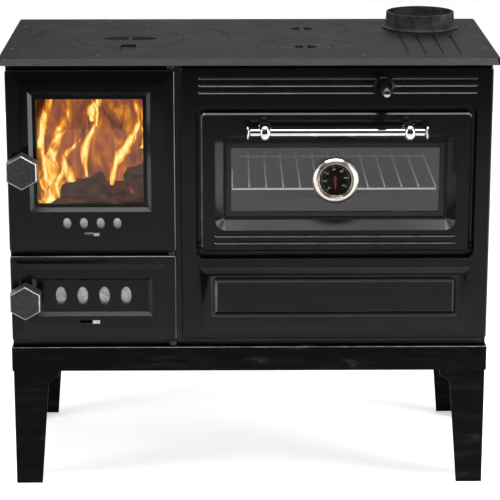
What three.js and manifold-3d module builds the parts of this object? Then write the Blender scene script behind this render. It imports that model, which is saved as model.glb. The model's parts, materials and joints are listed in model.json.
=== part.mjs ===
// Wood-burning cookstove: a firebox on the left, an oven on the right, and a cast hob plate on top.
// Millimetres. +X is to the right, the front faces -Y and +Z is up. The floor is at z = 0, and the
// origin is under the middle of the whole stove, from the damper rod's tip to the hob's back edge.
import * as THREE from 'three';
import { mergeVertices } from 'three/addons/utils/BufferGeometryUtils.js';
import Module from 'manifold-3d';

const wasm = await Module();
wasm.setup();

// ---------------------------------------------------------------- driving dimensions

// Clearances
const seat = 0.3; // between pieces that rest on or against each other
const pinPlay = 0.4; // round a hinge pin in its bore
const spindlePlay = 0.6; // round a latch spindle in its bore

// Hob plate
const hobWidth = 905;
const hobDepth = 450;
const hobHeight = 812; // cooking surface above the floor
const hobThick = 12;
const hobDraft = 3; // how far the edge slopes in towards the top
const hobLip = 2; // upright part of the edge under the slope
const hobCorner = 6;
const hobOverhang = 13.5; // past the body at each side

// Hob openings, their lids and the flue
const lidFlange = 7; // depth of the rebate that a ring or lid drops into
const lidLedge = 8; // width of the rebate
const largeRing = { radius: 186, fromLeft: 230.5, behindMiddle: -5 };
const largeLidRadius = 101;
const smallRingRadius = 89;
const smallLidRadius = 52.5;
const rearLidRadius = 89;
const smallHoles = { aside: -8, behindMiddle: 3, pitch: 202 }; // between the large ring and the flue
const lidTab = { width: 71, reach: 26, root: 30 }; // keeps the large lid from turning
const lifterNotch = { width: 28, length: 75, depth: 3.5, inLid: 33 };
const largeLifter = { length: 100, width: 40 };
const smallLifter = { length: 44, width: 30 };
const lifterPocket = { depth: 5, slope: 5, bridge: 9, bridgeThick: 2.5 };
const flue = { bore: 61.5, wall: 4, height: 31, fromRight: 118.5, fromBack: 104 };
const flueFoot = { radius: 74, thick: 3, fillet: 6 };
const hobGroove = { count: 4, pitch: 31.8, width: 6, depth: 2.5, start: 45, length: 202 };

// Body, plinth and legs
const bodyBackInset = 38; // hob's overhang at the back
const sheet = 3; // side, back and floor sheets
const flangeWidth = 15;
const backRib = { count: 3, inset: 60, width: 16, depth: 1.2 };
const doorSetback = 10; // from the hob's front edge back to the doors' faces
const doorDepth = 16; // from the doors' faces back to the cast front frame
const frameThick = 8;
const legHeight = 223;
const plinthHeight = 46.5;
const plinthProud = 2; // past the body at each side
const plinthWall = 3;
const plinthFlange = 30;
const legInset = 2.4;
const legTop = 84; // width of each web under the plinth
const legFlare = 64; // width at the foot of the curved flare
const legFoot = 48.5; // width at the floor
const legFlareRadius = 22;
const legFlareDrop = 33; // from the plinth down to the foot of the flare
const legSheet = 3;

// Fire door and ash door
const doorWidth = 304;
const ashDoorHeight = 161.5;
const doorBottomGap = 13.5; // between the plinth and the ash door
const doorBetweenGap = 9.5; // between the ash door and the fire door
const doorTopGap = 10; // between the fire door and the hob
const doorSeal = 0.4; // between a closed door's back and the frame
const doorCorner = 4;
const doorEase = 1.5; // eased front edge
const doorWall = 8;
const doorRim = 10;
const fieldBorder = 14; // flat border round the raised field
const fieldBevel = 9.6;
const fieldRaise = 4;
const recessSlope = 7;
const recessDepth = 6;
const fireWindow = { left: 40, right: 43.5, top: 39, bottom: 75.5, rim: 7, corner: 3 };
const ashRecess = { left: 40, right: 43.5, top: 40.5, bottom: 48 };
const firePorts = { rx: 7.5, rz: 10.75, pitch: 30.5, fromLeft: 152.3, fromBottom: 53.4 };
const ashPorts = { rx: 9.85, rz: 17.25, pitch: 40, fromLeft: 151.9, fromBottom: 85.4 };
const portCount = 4;
const fireSlot = { length: 30, height: 6.4, fromLeft: 152, fromBottom: 33.6, tab: 10 };
const ashSlot = { length: 39.4, height: 6.4, fromLeft: 145.2, fromBottom: 37.2, tab: 13 };
const sliderThick = 2;
const sliderLap = 5; // how far a slider covers past the outermost ports
const tabProud = 2.5; // how far a slider's tab stands in front of the door
const openingSide = 16.6; // overlap of a door on the frame at the latch side
const openingHinge = 22; // overlap at the hinge side
const openingEnds = 14; // overlap at the top and bottom
const hingeEdge = 7; // pin axis from the door's edge and from its back
const hingePin = 3;
const hingePinLength = 18; // how far a pin enters a door
const lugClear = 1.5; // between a hinge lug and the door next to it
const ropeWidth = 7;
const ropeInset = 4.5; // door edge to gasket at the latch side and the ends
const ropeHingeInset = 13;
const ropeGroove = 3; // depth of the gasket's channel into the rim
const glassThick = 4;
const glassLap = 10;
const retainerLap = 4;
const retainerThick = 2.4;

// Latches
const knobFlats = 55;
const knobThick = 35;
const knobEase = 2;
const knobNeckRadius = 10;
const knobNeck = 8;
const latchFromEdge = 29.6;
const fireLatchFromBottom = 158;
const ashLatchFromBottom = 85;
const spindleRadius = 5;
const spindleInKnob = 24;
const tongueLength = 22;
const tongueWidth = 12;
const tongueThick = 5;
const tongueClear = 0.6; // between the tongue and the frame's back

// Oven front panel and oven door
const stileWidth = 10.3; // frame seen between the fire door and the oven panel
const panelBottomGap = 15.5;
const panelTopGap = 5;
const panelSheet = 2.5;
const panelCorner = 5;
const panelEase = 2.5;
const trimGroove = {
  count: 3, pitch: 13, width: 5, depth: 1.6, slope: 2, fromTop: 20, fromLeft: 33.3, fromRight: 28,
};
const ovenRecess = { side: 27.4, fromTop: 72, height: 284.4, corner: 13, slope: 3 };
const ovenDoorGap = { side: 9, top: 11.8, bottom: 14.2 };
const ovenDoorCorner = 8;
const ovenDoorEase = 3;
const ovenDoorClear = 2; // between the oven door's flange and the frame
const surroundMargin = { side: 26, top: 40, bottom: 40 };
const surroundCorner = 18;
const surroundSlope = 15;
const surroundDepth = 20;
const glassRim = 14; // from the foot of the surround to the clear glass
const glassHold = 5; // lip that holds the oven glass
const doorGroove = { count: 2, pitch: 13, width: 5, depth: 1.6, slope: 2, fromBottom: 16.5, side: 25 };
const lowerField = { side: 32, bottom: 13.5, height: 124, bevel: 11, raise: 4 };
const lowerGroove = { side: 22, top: 16, bottom: 30, slope: 11.5, depth: 4 };

// Oven handle, thermometer and hinges
const handleRadius = 7.5;
const handleHalf = 164.5;
const handleStandOff = 38;
const handleFromTop = 27.2;
const handlePostSpan = 259.5;
const handlePostRadius = 5;
const collarRadius = 15.7;
const collarWidth = 18.6;
const rosetteRadius = 12.4;
const rosetteThick = 4;
const bezelRadius = 42.5;
const bezelDepth = 20;
const dialRadius = 31;
const bezelRise = 2; // above the middle of the glass
const stemRadius = 4;
const stemLength = 28;
const stemHole = 7;
const needleLength = 19;
const ovenHingeEdge = 6;
const ovenPin = 2.5;
const ovenPinLength = 14;
const ovenLug = 4;

// Oven
const mouthInset = 13; // oven mouth inside the oven door's outline
const plugClear = 5; // round the door's inner panel in the mouth
const ovenDepth = 340;
const ovenWall = 2;
const ovenFlange = 8;
const rackWires = 16;
const rackInset = 44.95; // oven wall to the outermost wire
const rackWire = 1.7;
const rackBar = 2.5;
const rackWeld = 0.8; // how far the wires sink into the bars
const shelfFromFront = 20;
const shelfFromBack = 12;
const rackSetback = 44; // from the frame's back to the rack's front bar
const rackDepth = 270;
const rackLevel = 87; // above the oven's floor
const shelfLevels = [40, 87, 134];
const shelfLap = 12; // how far a shelf reaches under the rack

// Firebox and ash pit
const firePlateRise = 15; // firebox floor under the fire opening's bottom edge
const firePlateThick = 8;
const linerThick = 24;
const linerBelowHob = 61.7; // room for the smoke over the liners
const linerGap = 16; // air gap between the side sheet and the left liner
const fireboxFront = 12; // liners behind the frame's back
const fireboxDepth = 300;
const grate = { width: 200, depth: 240, thick: 12, bar: 9, slot: 9, rim: 14, seatLap: 6 };
const pan = { width: 230, depth: 270, height: 70, wall: 1.5, draft: 6, setback: 20, rim: 6 };
const partitionFromMouth = 13.4; // firebox partition left of the oven's mouth
const partitionTop = 112; // under the hob

// Flue damper
const rodFromRight = 197;
const rodFromTop = 34; // under the oven panel's top edge
const rodUnderPlate = 30; // how far the rod runs under the damper plate
const rodRadius = 4;
const rodReach = 76; // tip in front of the panel
const tipLength = 10;
const tipRadius = 8;
const gripRadius = 9;
const bossRadius = 19.5;
const bossHeight = 8;
const fluePassage = { width: 184, depth: 137, height: 30, wall: 2, aside: 18, lip: 5 };
const damperHole = 43;
const damperPlate = { depth: 100, thick: 2.4 };
const returnSlot = { width: 104, depth: 24 };

// ---------------------------------------------------------------- planes and positions

const hobUnder = hobHeight - hobThick;
const hobFront = -(hobDepth + doorSetback - rodReach) / 2;
const hobBack = hobFront + hobDepth;
const hobLeft = -hobWidth / 2;
const hobRight = hobWidth / 2;
const bodyRight = hobRight - hobOverhang;
const bodyLeft = -bodyRight;
const bodyTop = hobUnder - seat;
const bodyBack = hobBack - bodyBackInset;
const plinthTop = legHeight + plinthHeight;
const bodyBottom = plinthTop + seat;
const faceY = hobFront + doorSetback;
const frameY = faceY + doorDepth;
const frameBack = frameY + frameThick;
const doorBack = frameY - doorSeal;
const wallBack = faceY + doorWall;
const fieldY = faceY - fieldRaise;
const innerLeft = bodyLeft + sheet;
const innerRight = bodyRight - sheet;
const innerFront = frameBack + seat;
const innerBack = bodyBack - sheet - seat;

const ashDoor = rectangle(bodyLeft, bodyLeft + doorWidth, plinthTop + doorBottomGap, 0);
ashDoor.top = ashDoor.bottom + ashDoorHeight;
const fireDoor = rectangle(bodyLeft, bodyLeft + doorWidth, ashDoor.top + doorBetweenGap, hobUnder - doorTopGap);
const hinge = { x: fireDoor.right - hingeEdge, y: doorBack - hingeEdge };
const latchX = bodyLeft + latchFromEdge;
const fireLatchZ = fireDoor.bottom + fireLatchFromBottom;
const ashLatchZ = ashDoor.bottom + ashLatchFromBottom;

const fireOpening = frameOpening(fireDoor);
const ashOpening = frameOpening(ashDoor);
const windowField = recessIn(fireDoor, fireWindow);
const windowFoot = inset(windowField, recessSlope);
const fireGlassOpening = inset(windowFoot, fireWindow.rim);
const ashField = recessIn(ashDoor, ashRecess);

const panelArea = rectangle(
  fireDoor.right + stileWidth, bodyRight, plinthTop + panelBottomGap, hobUnder - panelTopGap);
const recess = rectangle(
  panelArea.left + ovenRecess.side, panelArea.right - ovenRecess.side,
  panelArea.top - ovenRecess.fromTop - ovenRecess.height, panelArea.top - ovenRecess.fromTop);
const ovenDoor = rectangle(
  recess.left + ovenDoorGap.side, recess.right - ovenDoorGap.side,
  recess.bottom + ovenDoorGap.bottom, recess.top - ovenDoorGap.top);
const surround = rectangle(
  ovenDoor.left + surroundMargin.side, ovenDoor.right - surroundMargin.side,
  ovenDoor.bottom + surroundMargin.bottom, ovenDoor.top - surroundMargin.top);
const surroundFoot = inset(surround, surroundSlope);
const surroundY = faceY + surroundDepth;
const clearGlass = inset(surroundFoot, glassRim);
const ovenSkinBack = frameY - ovenDoorClear;
const ovenHinge = { y: ovenSkinBack - ovenHingeEdge, z: ovenDoor.bottom + ovenHingeEdge };
const mouth = inset(ovenDoor, mouthInset);
const ovenMiddle = (ovenDoor.left + ovenDoor.right) / 2;
const ovenGlassY = surroundY + panelSheet + seat;
const ovenGlassBack = ovenGlassY + glassThick;
const handleY = faceY - handleStandOff;
const handleZ = ovenDoor.top - handleFromTop;
const bezelZ = (clearGlass.bottom + clearGlass.top) / 2 + bezelRise;
const bezelY = ovenGlassY - seat;

const bodyFloor = ashOpening.bottom - seat;
const firePlateTop = fireOpening.bottom - firePlateRise;
const firePlateBottom = firePlateTop - firePlateThick;
const partitionX = mouth.left - partitionFromMouth;
const fireboxLeft = innerLeft + linerGap;
const fireboxY = frameBack + fireboxFront;
const fireMiddleX = (fireOpening.left + fireOpening.right) / 2;
const grateY = fireboxY + fireboxDepth / 2;

const flueX = hobRight - flue.fromRight;
const flueY = hobBack - flue.fromBack;
const rodX = bodyRight - rodFromRight;
const rodZ = panelArea.top - rodFromTop;
const damperTravel = damperHole * 2 - 6; // pulls the plate clear of its hole
const passageLeft = flueX - fluePassage.aside - fluePassage.width / 2;
const passage = rectangle(
  passageLeft, passageLeft + fluePassage.width, bodyTop - fluePassage.height, bodyTop);
const passageBack = innerBack;
const passageFront = passageBack - fluePassage.depth;
const damperHoleY = passageBack - returnSlot.depth - damperHole - 14;
const damperTop = passage.bottom - seat;
const damperBottom = damperTop - damperPlate.thick;

// ---------------------------------------------------------------- outlines

function rectangle(left, right, bottom, top) {
  return { left, right, bottom, top };
}

function inset(area, by) {
  return rectangle(area.left + by, area.right - by, area.bottom + by, area.top - by);
}

function recessIn(door, margin) {
  return rectangle(
    door.left + margin.left, door.right - margin.right, door.bottom + margin.bottom, door.top - margin.top);
}

function frameOpening(door) {
  return rectangle(
    door.left + openingSide, door.right - openingHinge, door.bottom + openingEnds, door.top - openingEnds);
}

function arc(cx, cy, rx, ry, from, to, steps) {
  return Array.from({ length: steps + 1 }, (_, i) => {
    const angle = from + ((to - from) * i) / steps;
    return new THREE.Vector2(cx + rx * Math.cos(angle), cy + ry * Math.sin(angle));
  });
}

function cornered(area, radius = 0, steps = 3) {
  const { left, right, bottom, top } = area;
  if (radius <= 0) {
    return [[left, bottom], [right, bottom], [right, top], [left, top]].map(([u, v]) => new THREE.Vector2(u, v));
  }
  const quarter = Math.PI / 2;
  return [
    ...arc(right - radius, bottom + radius, radius, radius, -quarter, 0, steps),
    ...arc(right - radius, top - radius, radius, radius, 0, quarter, steps),
    ...arc(left + radius, top - radius, radius, radius, quarter, 2 * quarter, steps),
    ...arc(left + radius, bottom + radius, radius, radius, 2 * quarter, 3 * quarter, steps),
  ];
}

function ellipse(cx, cy, rx, ry, steps = 16) {
  return arc(cx, cy, rx, ry, 0, 2 * Math.PI, steps).slice(0, -1);
}

function slotOutline(cx, cy, length, width, steps = 6) {
  const half = (length - width) / 2;
  return [
    ...arc(cx + half, cy, width / 2, width / 2, -Math.PI / 2, Math.PI / 2, steps),
    ...arc(cx - half, cy, width / 2, width / 2, Math.PI / 2, 1.5 * Math.PI, steps),
  ];
}

// ---------------------------------------------------------------- solids

// An outline's own (u, v) and its extrusion, as the world axes that they run along.
const xAxis = new THREE.Vector3(1, 0, 0);
const yAxis = new THREE.Vector3(0, 1, 0);
const zAxis = new THREE.Vector3(0, 0, 1);
const planes = {
  plan: { basis: new THREE.Matrix4().makeBasis(xAxis, yAxis, zAxis), sign: 1 },
  front: { basis: new THREE.Matrix4().makeBasis(xAxis, zAxis, yAxis.clone().negate()), sign: -1 },
  side: { basis: new THREE.Matrix4().makeBasis(yAxis, zAxis, xAxis), sign: 1 },
};

function toSolid(geometry) {
  geometry.deleteAttribute('normal');
  geometry.deleteAttribute('uv');
  const merged = mergeVertices(geometry, 1e-3);
  const corners = merged.index.array;
  const triVerts = [];
  for (let i = 0; i < corners.length; i += 3) {
    const [a, b, c] = corners.slice(i, i + 3);
    if (a !== b && b !== c && c !== a) triVerts.push(a, b, c);
  }
  return new wasm.Manifold(new wasm.Mesh({
    numProp: 3,
    vertProperties: Float32Array.from(merged.attributes.position.array),
    triVerts: Uint32Array.from(triVerts),
  }));
}

function toGeometry(solid) {
  const { vertProperties, triVerts } = solid.getMesh();
  const shared = new THREE.BufferGeometry();
  shared.setAttribute('position', new THREE.BufferAttribute(Float32Array.from(vertProperties), 3));
  shared.setIndex(new THREE.BufferAttribute(Uint32Array.from(triVerts), 1));
  const flat = shared.toNonIndexed();
  flat.computeVertexNormals();
  return flat;
}

const join = (first, ...rest) => rest.reduce((solid, other) => solid.add(other), first);
const cut = (first, ...rest) => rest.reduce((solid, other) => solid.subtract(other), first);

// Straight extrusion between two world levels: z in plan, y in front, x in side.
function extrude(plane, outline, from, to) {
  const { basis, sign } = planes[plane];
  const depth = Math.abs(to - from);
  const geometry = new THREE.ExtrudeGeometry(new THREE.Shape(outline), { depth, bevelEnabled: false });
  geometry.translate(0, 0, sign > 0 ? Math.min(from, to) : -Math.max(from, to));
  return toSolid(geometry.applyMatrix4(basis));
}

// Solid through outlines of equal point counts, each at its own world level.
function loft(plane, ...sections) {
  const { basis, sign } = planes[plane];
  const ordered = [...sections].sort((a, b) => sign * (a.at - b.at));
  const count = ordered[0].outline.length;
  const positions = ordered.flatMap(({ outline, at }) => outline.flatMap((p) => [p.x, p.y, sign * at]));
  const index = [];
  for (let ring = 0; ring < ordered.length - 1; ring += 1) {
    for (let i = 0; i < count; i += 1) {
      const a = ring * count + i;
      const b = ring * count + ((i + 1) % count);
      index.push(a, b, b + count, a, b + count, a + count);
    }
  }
  const last = (ordered.length - 1) * count;
  for (const [a, b, c] of THREE.ShapeUtils.triangulateShape(ordered[0].outline, [])) index.push(c, b, a);
  for (const [a, b, c] of THREE.ShapeUtils.triangulateShape(ordered.at(-1).outline, [])) {
    index.push(last + a, last + b, last + c);
  }
  const geometry = new THREE.BufferGeometry();
  geometry.setAttribute('position', new THREE.Float32BufferAttribute(positions, 3));
  geometry.setIndex(index);
  return toSolid(geometry.applyMatrix4(basis));
}

function block(x0, x1, y0, y1, z0, z1) {
  return extrude('plan', cornered(rectangle(x0, x1, y0, y1)), z0, z1);
}

// Sides of a round piece: finer on a large radius.
function roundSides(radius) {
  return 4 * Math.ceil(Math.sqrt(radius) / 1.2);
}

function disc(cx, cy, radius, z0, z1, segments = roundSides(radius)) {
  const geometry = new THREE.CylinderGeometry(radius, radius, z1 - z0, segments);
  geometry.rotateX(Math.PI / 2);
  geometry.translate(cx, cy, (z0 + z1) / 2);
  return toSolid(geometry);
}

// Round bar along Y between two levels.
function barY(cx, cz, radius, y0, y1, segments = roundSides(radius)) {
  const geometry = new THREE.CylinderGeometry(radius, radius, Math.abs(y1 - y0), segments);
  geometry.translate(cx, (y0 + y1) / 2, cz);
  return toSolid(geometry);
}

function barX(cy, cz, radius, x0, x1, segments = roundSides(radius)) {
  const geometry = new THREE.CylinderGeometry(radius, radius, Math.abs(x1 - x0), segments);
  geometry.rotateZ(Math.PI / 2);
  geometry.translate((x0 + x1) / 2, cy, cz);
  return toSolid(geometry);
}

// Turned piece from [radius, height] points, about its own Y, which is then laid along an axis.
function turned(points, axis) {
  const segments = roundSides(Math.max(...points.map(([radius]) => radius)));
  const profile = points.map(([radius, height]) => new THREE.Vector2(radius, height));
  if (THREE.ShapeUtils.isClockWise(profile)) profile.reverse();
  if (profile[0].x > 0 || profile.at(-1).x > 0) profile.push(profile[0].clone());
  const geometry = new THREE.LatheGeometry(profile, segments);
  if (axis === 'z') geometry.rotateX(Math.PI / 2);
  if (axis === 'front') geometry.rotateX(Math.PI);
  if (axis === 'x') geometry.rotateZ(-Math.PI / 2);
  return toSolid(geometry);
}

// Sloped recess cut into a front face: area is its outer edge on that face.
function recessCutter(area, slope, depth, surfaceY, radius = 0) {
  const over = 1; // starts this far in front of the face, on the same slope
  const grow = (slope / depth) * over;
  return loft('front',
    { outline: cornered(inset(area, -grow), radius > 0 ? radius + grow : 0), at: surfaceY - over },
    { outline: cornered(inset(area, slope), radius > 0 ? Math.max(radius - slope, 2) : 0), at: surfaceY + depth });
}

// Raised pad with sloped edges on a front face: area is its outer edge on that face.
function raisedPad(area, slope, raise, surfaceY) {
  return loft('front',
    { outline: cornered(area), at: surfaceY + 1 },
    { outline: cornered(area), at: surfaceY },
    { outline: cornered(inset(area, slope)), at: surfaceY - raise });
}

// Slab in the front plane with an eased front edge.
function easedSlab(area, radius, ease, front, back) {
  return loft('front',
    { outline: cornered(area, radius), at: back },
    { outline: cornered(area, radius), at: front + ease },
    { outline: cornered(inset(area, ease), Math.max(radius - ease, 0.5)), at: front });
}

// ---------------------------------------------------------------- materials

function finish(color, roughness, metalness, extra = {}) {
  return new THREE.MeshStandardMaterial({ color, roughness, metalness, ...extra });
}
const castIron = finish('#3f3f3f', 0.75, 0.3);
const enamel = finish('#1c1c1c', 0.25, 0);
const blackSteel = finish('#151515', 0.45, 0.2);
const bareSteel = finish('#8c8c8c', 0.4, 0.9);
const chrome = finish('#d8d8d8', 0.1, 1);
const castAluminium = finish('#8f8f8f', 0.4, 0.9);
const galvanised = finish('#a2a3a5', 0.5, 0.8);
const firebrick = finish('#b89b74', 0.95, 0);
const ropeSeal = finish('#5a5a58', 1, 0);
const smokedGlass = finish('#4a4a4a', 0.05, 0, { transparent: true, opacity: 0.5 });
const clearPane = finish('#e8e8e0', 0.05, 0, { transparent: true, opacity: 0.2 });
const dialFace = finish('#101010', 0.5, 0);
const needleRed = finish('#8a1c28', 0.4, 0);
const bakelite = finish('#141414', 0.4, 0);

const stove = new THREE.Group();

function add(name, solid, material, place = [0, 0, 0]) {
  const mesh = new THREE.Mesh(toGeometry(solid), material);
  mesh.name = name;
  mesh.position.set(...place);
  stove.add(mesh);
}

// ---------------------------------------------------------------- hob

const hobMiddleY = (hobFront + hobBack) / 2;
const largeCentre = [hobLeft + largeRing.fromLeft, hobMiddleY + largeRing.behindMiddle];
const smallHolesX = (largeCentre[0] + largeRing.radius + flueX - flueFoot.radius) / 2 + smallHoles.aside;
const smallHolesY = hobMiddleY + smallHoles.behindMiddle;
const smallCentre = [smallHolesX, smallHolesY - smallHoles.pitch / 2];
const rearCentre = [smallHolesX, smallHolesY + smallHoles.pitch / 2];

// Stepped hole that a ring or lid of this radius drops into.
function steppedHole([x, y], radius) {
  const sides = roundSides(radius);
  return join(
    disc(x, y, radius + seat, hobHeight - lidFlange, hobHeight + 1, sides),
    disc(x, y, radius - lidLedge, hobUnder - 1, hobHeight, sides));
}

function lidBlank([x, y], radius) {
  const sides = roundSides(radius);
  return join(
    disc(x, y, radius, hobHeight - lidFlange + seat, hobHeight, sides),
    disc(x, y, radius - lidLedge - 1, hobUnder, hobHeight - lidFlange + seat + 0.5, sides));
}

// Shallow pocket with a bridge across it, which the lid lifter hooks under.
function lifterCut([x, y], { length, width }) {
  const { depth, slope, bridge, bridgeThick } = lifterPocket;
  const bowl = (by) => ellipse(x, y, length / 2 - by, width / 2 - by, 20);
  return cut(
    loft('plan',
      { outline: bowl(slope), at: hobHeight - depth },
      { outline: bowl(0), at: hobHeight },
      { outline: bowl(0), at: hobHeight + 1 }),
    block(x - bridge / 2, x + bridge / 2, y - width, y + width, hobHeight - bridgeThick, hobHeight + 2));
}

function largeLidParts() {
  const [x, y] = largeCentre;
  const tabBack = y + largeLidRadius + lidTab.reach;
  const tabHalf = lidTab.width / 2;
  const tabRoot = y + largeLidRadius - lidTab.root;
  const tab = (play, z0, z1) => block(x - tabHalf - play, x + tabHalf + play, tabRoot, tabBack + play, z0, z1);
  const notchY = y - largeLidRadius - lifterNotch.length / 2 + lifterNotch.inLid;
  const notchArea = rectangle(
    x - lifterNotch.width / 2, x + lifterNotch.width / 2,
    notchY - lifterNotch.length / 2, notchY + lifterNotch.length / 2);
  const notch = extrude('plan', cornered(notchArea, 6), hobHeight - lifterNotch.depth, hobHeight + 1);
  const ring = cut(lidBlank(largeCentre, largeRing.radius),
    steppedHole(largeCentre, largeLidRadius), tab(seat, hobHeight - lidFlange, hobHeight + 1), notch);
  const lid = cut(
    join(lidBlank(largeCentre, largeLidRadius), tab(0, hobHeight - lidFlange + seat, hobHeight)),
    notch, lifterCut(largeCentre, largeLifter));
  return { ring, lid };
}

function addHob() {
  const outline = (by) => cornered(rectangle(hobLeft + by, hobRight - by, hobFront + by, hobBack - by), hobCorner);
  const blank = loft('plan',
    { outline: outline(0), at: hobUnder },
    { outline: outline(0), at: hobUnder + hobLip },
    { outline: outline(hobDraft), at: hobHeight });
  const grooves = Array.from({ length: hobGroove.count }, (_, i) => {
    const x = flueX + (i - (hobGroove.count - 1) / 2) * hobGroove.pitch;
    const start = hobFront + hobGroove.start;
    const area = rectangle(x - hobGroove.width / 2, x + hobGroove.width / 2, start, start + hobGroove.length);
    return extrude('plan', cornered(area, hobGroove.width / 2 - 0.1), hobHeight - hobGroove.depth, hobHeight + 1);
  });
  const flueHole = disc(flueX, flueY, flue.bore, hobUnder - 1, hobHeight + 1);
  const plate = cut(blank,
    steppedHole(largeCentre, largeRing.radius),
    steppedHole(smallCentre, smallRingRadius),
    steppedHole(rearCentre, rearLidRadius),
    flueHole, ...grooves);
  add('hob_plate', plate, castIron);

  const { ring, lid } = largeLidParts();
  add('large_hob_ring', ring, castIron);
  add('large_hob_lid', lid, castIron);
  add('small_hob_ring', cut(lidBlank(smallCentre, smallRingRadius), steppedHole(smallCentre, smallLidRadius)),
    castIron);
  add('small_hob_lid', cut(lidBlank(smallCentre, smallLidRadius), lifterCut(smallCentre, smallLifter)), castIron);
  add('rear_hob_lid', cut(lidBlank(rearCentre, rearLidRadius), lifterCut(rearCentre, smallLifter)), castIron);
}

function addFlueCollar() {
  const outer = flue.bore + flue.wall;
  const { radius, thick, fillet } = flueFoot;
  const collar = turned([
    [flue.bore, 0], [radius, 0], [radius, thick - 1], [radius - 1, thick], [outer + fillet * 0.6, thick],
    [outer + fillet * 0.3, thick + fillet * 0.3], [outer + 1.2, thick + fillet],
    [outer, flue.height], [flue.bore, flue.height],
  ], 'z');
  add('flue_collar', collar, castIron, [flueX, flueY, hobHeight + seat]);
}

// ---------------------------------------------------------------- body

function frontFrame() {
  const area = rectangle(innerLeft + seat, innerRight - seat, bodyBottom, bodyTop);
  const openings = [fireOpening, ashOpening].map((o) => extrude('front', cornered(o, 6), frameY - 1, frameBack + 1));
  const ovenMouth = extrude('front', cornered(mouth, 12), frameY - 1, frameBack + 1);
  const lug = (z0, z1) => {
    const reach = hinge.y - hingeEdge;
    const base = block(hinge.x - hingeEdge, hinge.x + hingeEdge, hinge.y, frameY + 1, z0, z1);
    return join(base, disc(hinge.x, hinge.y, hinge.y - reach, z0, z1));
  };
  const lugs = [
    lug(fireDoor.top + lugClear, bodyTop - lugClear),
    lug(ashDoor.top + lugClear, fireDoor.bottom - lugClear),
    lug(ashDoor.bottom - doorBottomGap + 2 * lugClear, ashDoor.bottom - lugClear),
  ];
  return cut(
    join(extrude('front', cornered(area), frameY, frameBack), ...lugs),
    ...openings, ovenMouth,
    disc(hinge.x, hinge.y, hingePin + pinPlay, bodyBottom - 1, bodyTop + 1),
    barY(rodX, rodZ, rodRadius + 1, frameY - 1, frameBack + 1));
}

function addHingePins() {
  const pin = (z0, z1) => disc(hinge.x, hinge.y, hingePin, z0, z1);
  add('hinge_pin_upper', pin(fireDoor.top - hingePinLength, bodyTop - lugClear), bareSteel);
  add('hinge_pin_middle', pin(ashDoor.top - hingePinLength, fireDoor.bottom + hingePinLength), bareSteel);
  add('hinge_pin_lower',
    pin(ashDoor.bottom - doorBottomGap + 2 * lugClear, ashDoor.bottom + hingePinLength), bareSteel);
}

function sidePanel(side) {
  const outer = side * bodyRight;
  const inner = side * (bodyRight - sheet);
  const lip = side * (bodyRight - sheet - flangeWidth);
  const [x0, x1] = [Math.min(outer, inner), Math.max(outer, inner)];
  const [f0, f1] = [Math.min(outer, lip), Math.max(outer, lip)];
  return join(
    block(x0, x1, frameY, bodyBack, bodyBottom, bodyTop),
    block(f0, f1, innerFront, innerBack, bodyTop - sheet, bodyTop));
}

function backPanel() {
  const area = rectangle(innerLeft + seat, innerRight - seat, bodyBottom, bodyTop);
  const panel = extrude('front', cornered(area), bodyBack - sheet, bodyBack);
  const { count, inset: sideInset, width, depth } = backRib;
  const length = area.right - area.left - 2 * sideInset;
  const ribs = Array.from({ length: count }, (_, i) => {
    const z = bodyBottom + ((bodyTop - bodyBottom) * (i + 1)) / (count + 1);
    const outline = slotOutline((area.left + area.right) / 2, z, length, width);
    return extrude('front', outline, bodyBack - depth, bodyBack + 1);
  });
  return cut(panel, ...ribs);
}

function floorPanel() {
  const [x0, x1, y0, y1] = [innerLeft + seat, innerRight - seat, innerFront, innerBack];
  return cut(
    block(x0, x1, y0, y1, bodyBottom, bodyFloor),
    block(x0 + sheet, x1 - sheet, y0 + sheet, y1 - sheet, bodyBottom - 1, bodyFloor - sheet));
}

function plinth() {
  const out = bodyRight + plinthProud;
  const [y0, y1] = [faceY, bodyBack];
  const [z0, z1] = [legHeight, plinthTop];
  const hollow = (by, bottom, top) => block(-out + by, out - by, y0 + by, y1 - by, bottom, top);
  return cut(
    block(-out, out, y0, y1, z0, z1),
    hollow(plinthFlange, z0 - 1, z1 + 1),
    hollow(plinthWall, z0 + plinthWall, z1 - plinthWall));
}

// One web of a leg in its own plane: u runs inwards from the stove's corner, v up from the floor.
function legWeb(flip, corner) {
  const top = legHeight - seat;
  const flareZ = top - legFlareDrop;
  const curve = arc(
    legFlare + legFlareRadius, flareZ, legFlareRadius, legFlareRadius, Math.PI, Math.PI / 2.35, 6);
  const inner = [...curve.filter((p) => p.x < legTop), new THREE.Vector2(legTop, flareZ + legFlareRadius)];
  const points = [
    new THREE.Vector2(0, 0),
    new THREE.Vector2(legFoot, 0),
    ...inner,
    new THREE.Vector2(legTop, top),
    new THREE.Vector2(0, top),
  ];
  const placed = points.map((p) => new THREE.Vector2(corner - flip * p.x, p.y));
  return THREE.ShapeUtils.isClockWise(placed) ? placed.reverse() : placed;
}

function leg(sideX, sideY) {
  const cornerX = sideX * (bodyRight + plinthProud - legInset);
  const cornerY = sideY > 0 ? bodyBack - legInset : faceY + legInset;
  const top = legHeight - seat;
  const xs = [cornerX, cornerX - sideX * legTop].sort((a, b) => a - b);
  const ys = [cornerY, cornerY - sideY * legTop].sort((a, b) => a - b);
  return join(
    extrude('front', legWeb(sideX, cornerX), cornerY, cornerY - sideY * legSheet),
    extrude('side', legWeb(sideY, cornerY), cornerX, cornerX - sideX * legSheet),
    block(...xs, ...ys, top - legSheet, top));
}

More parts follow.
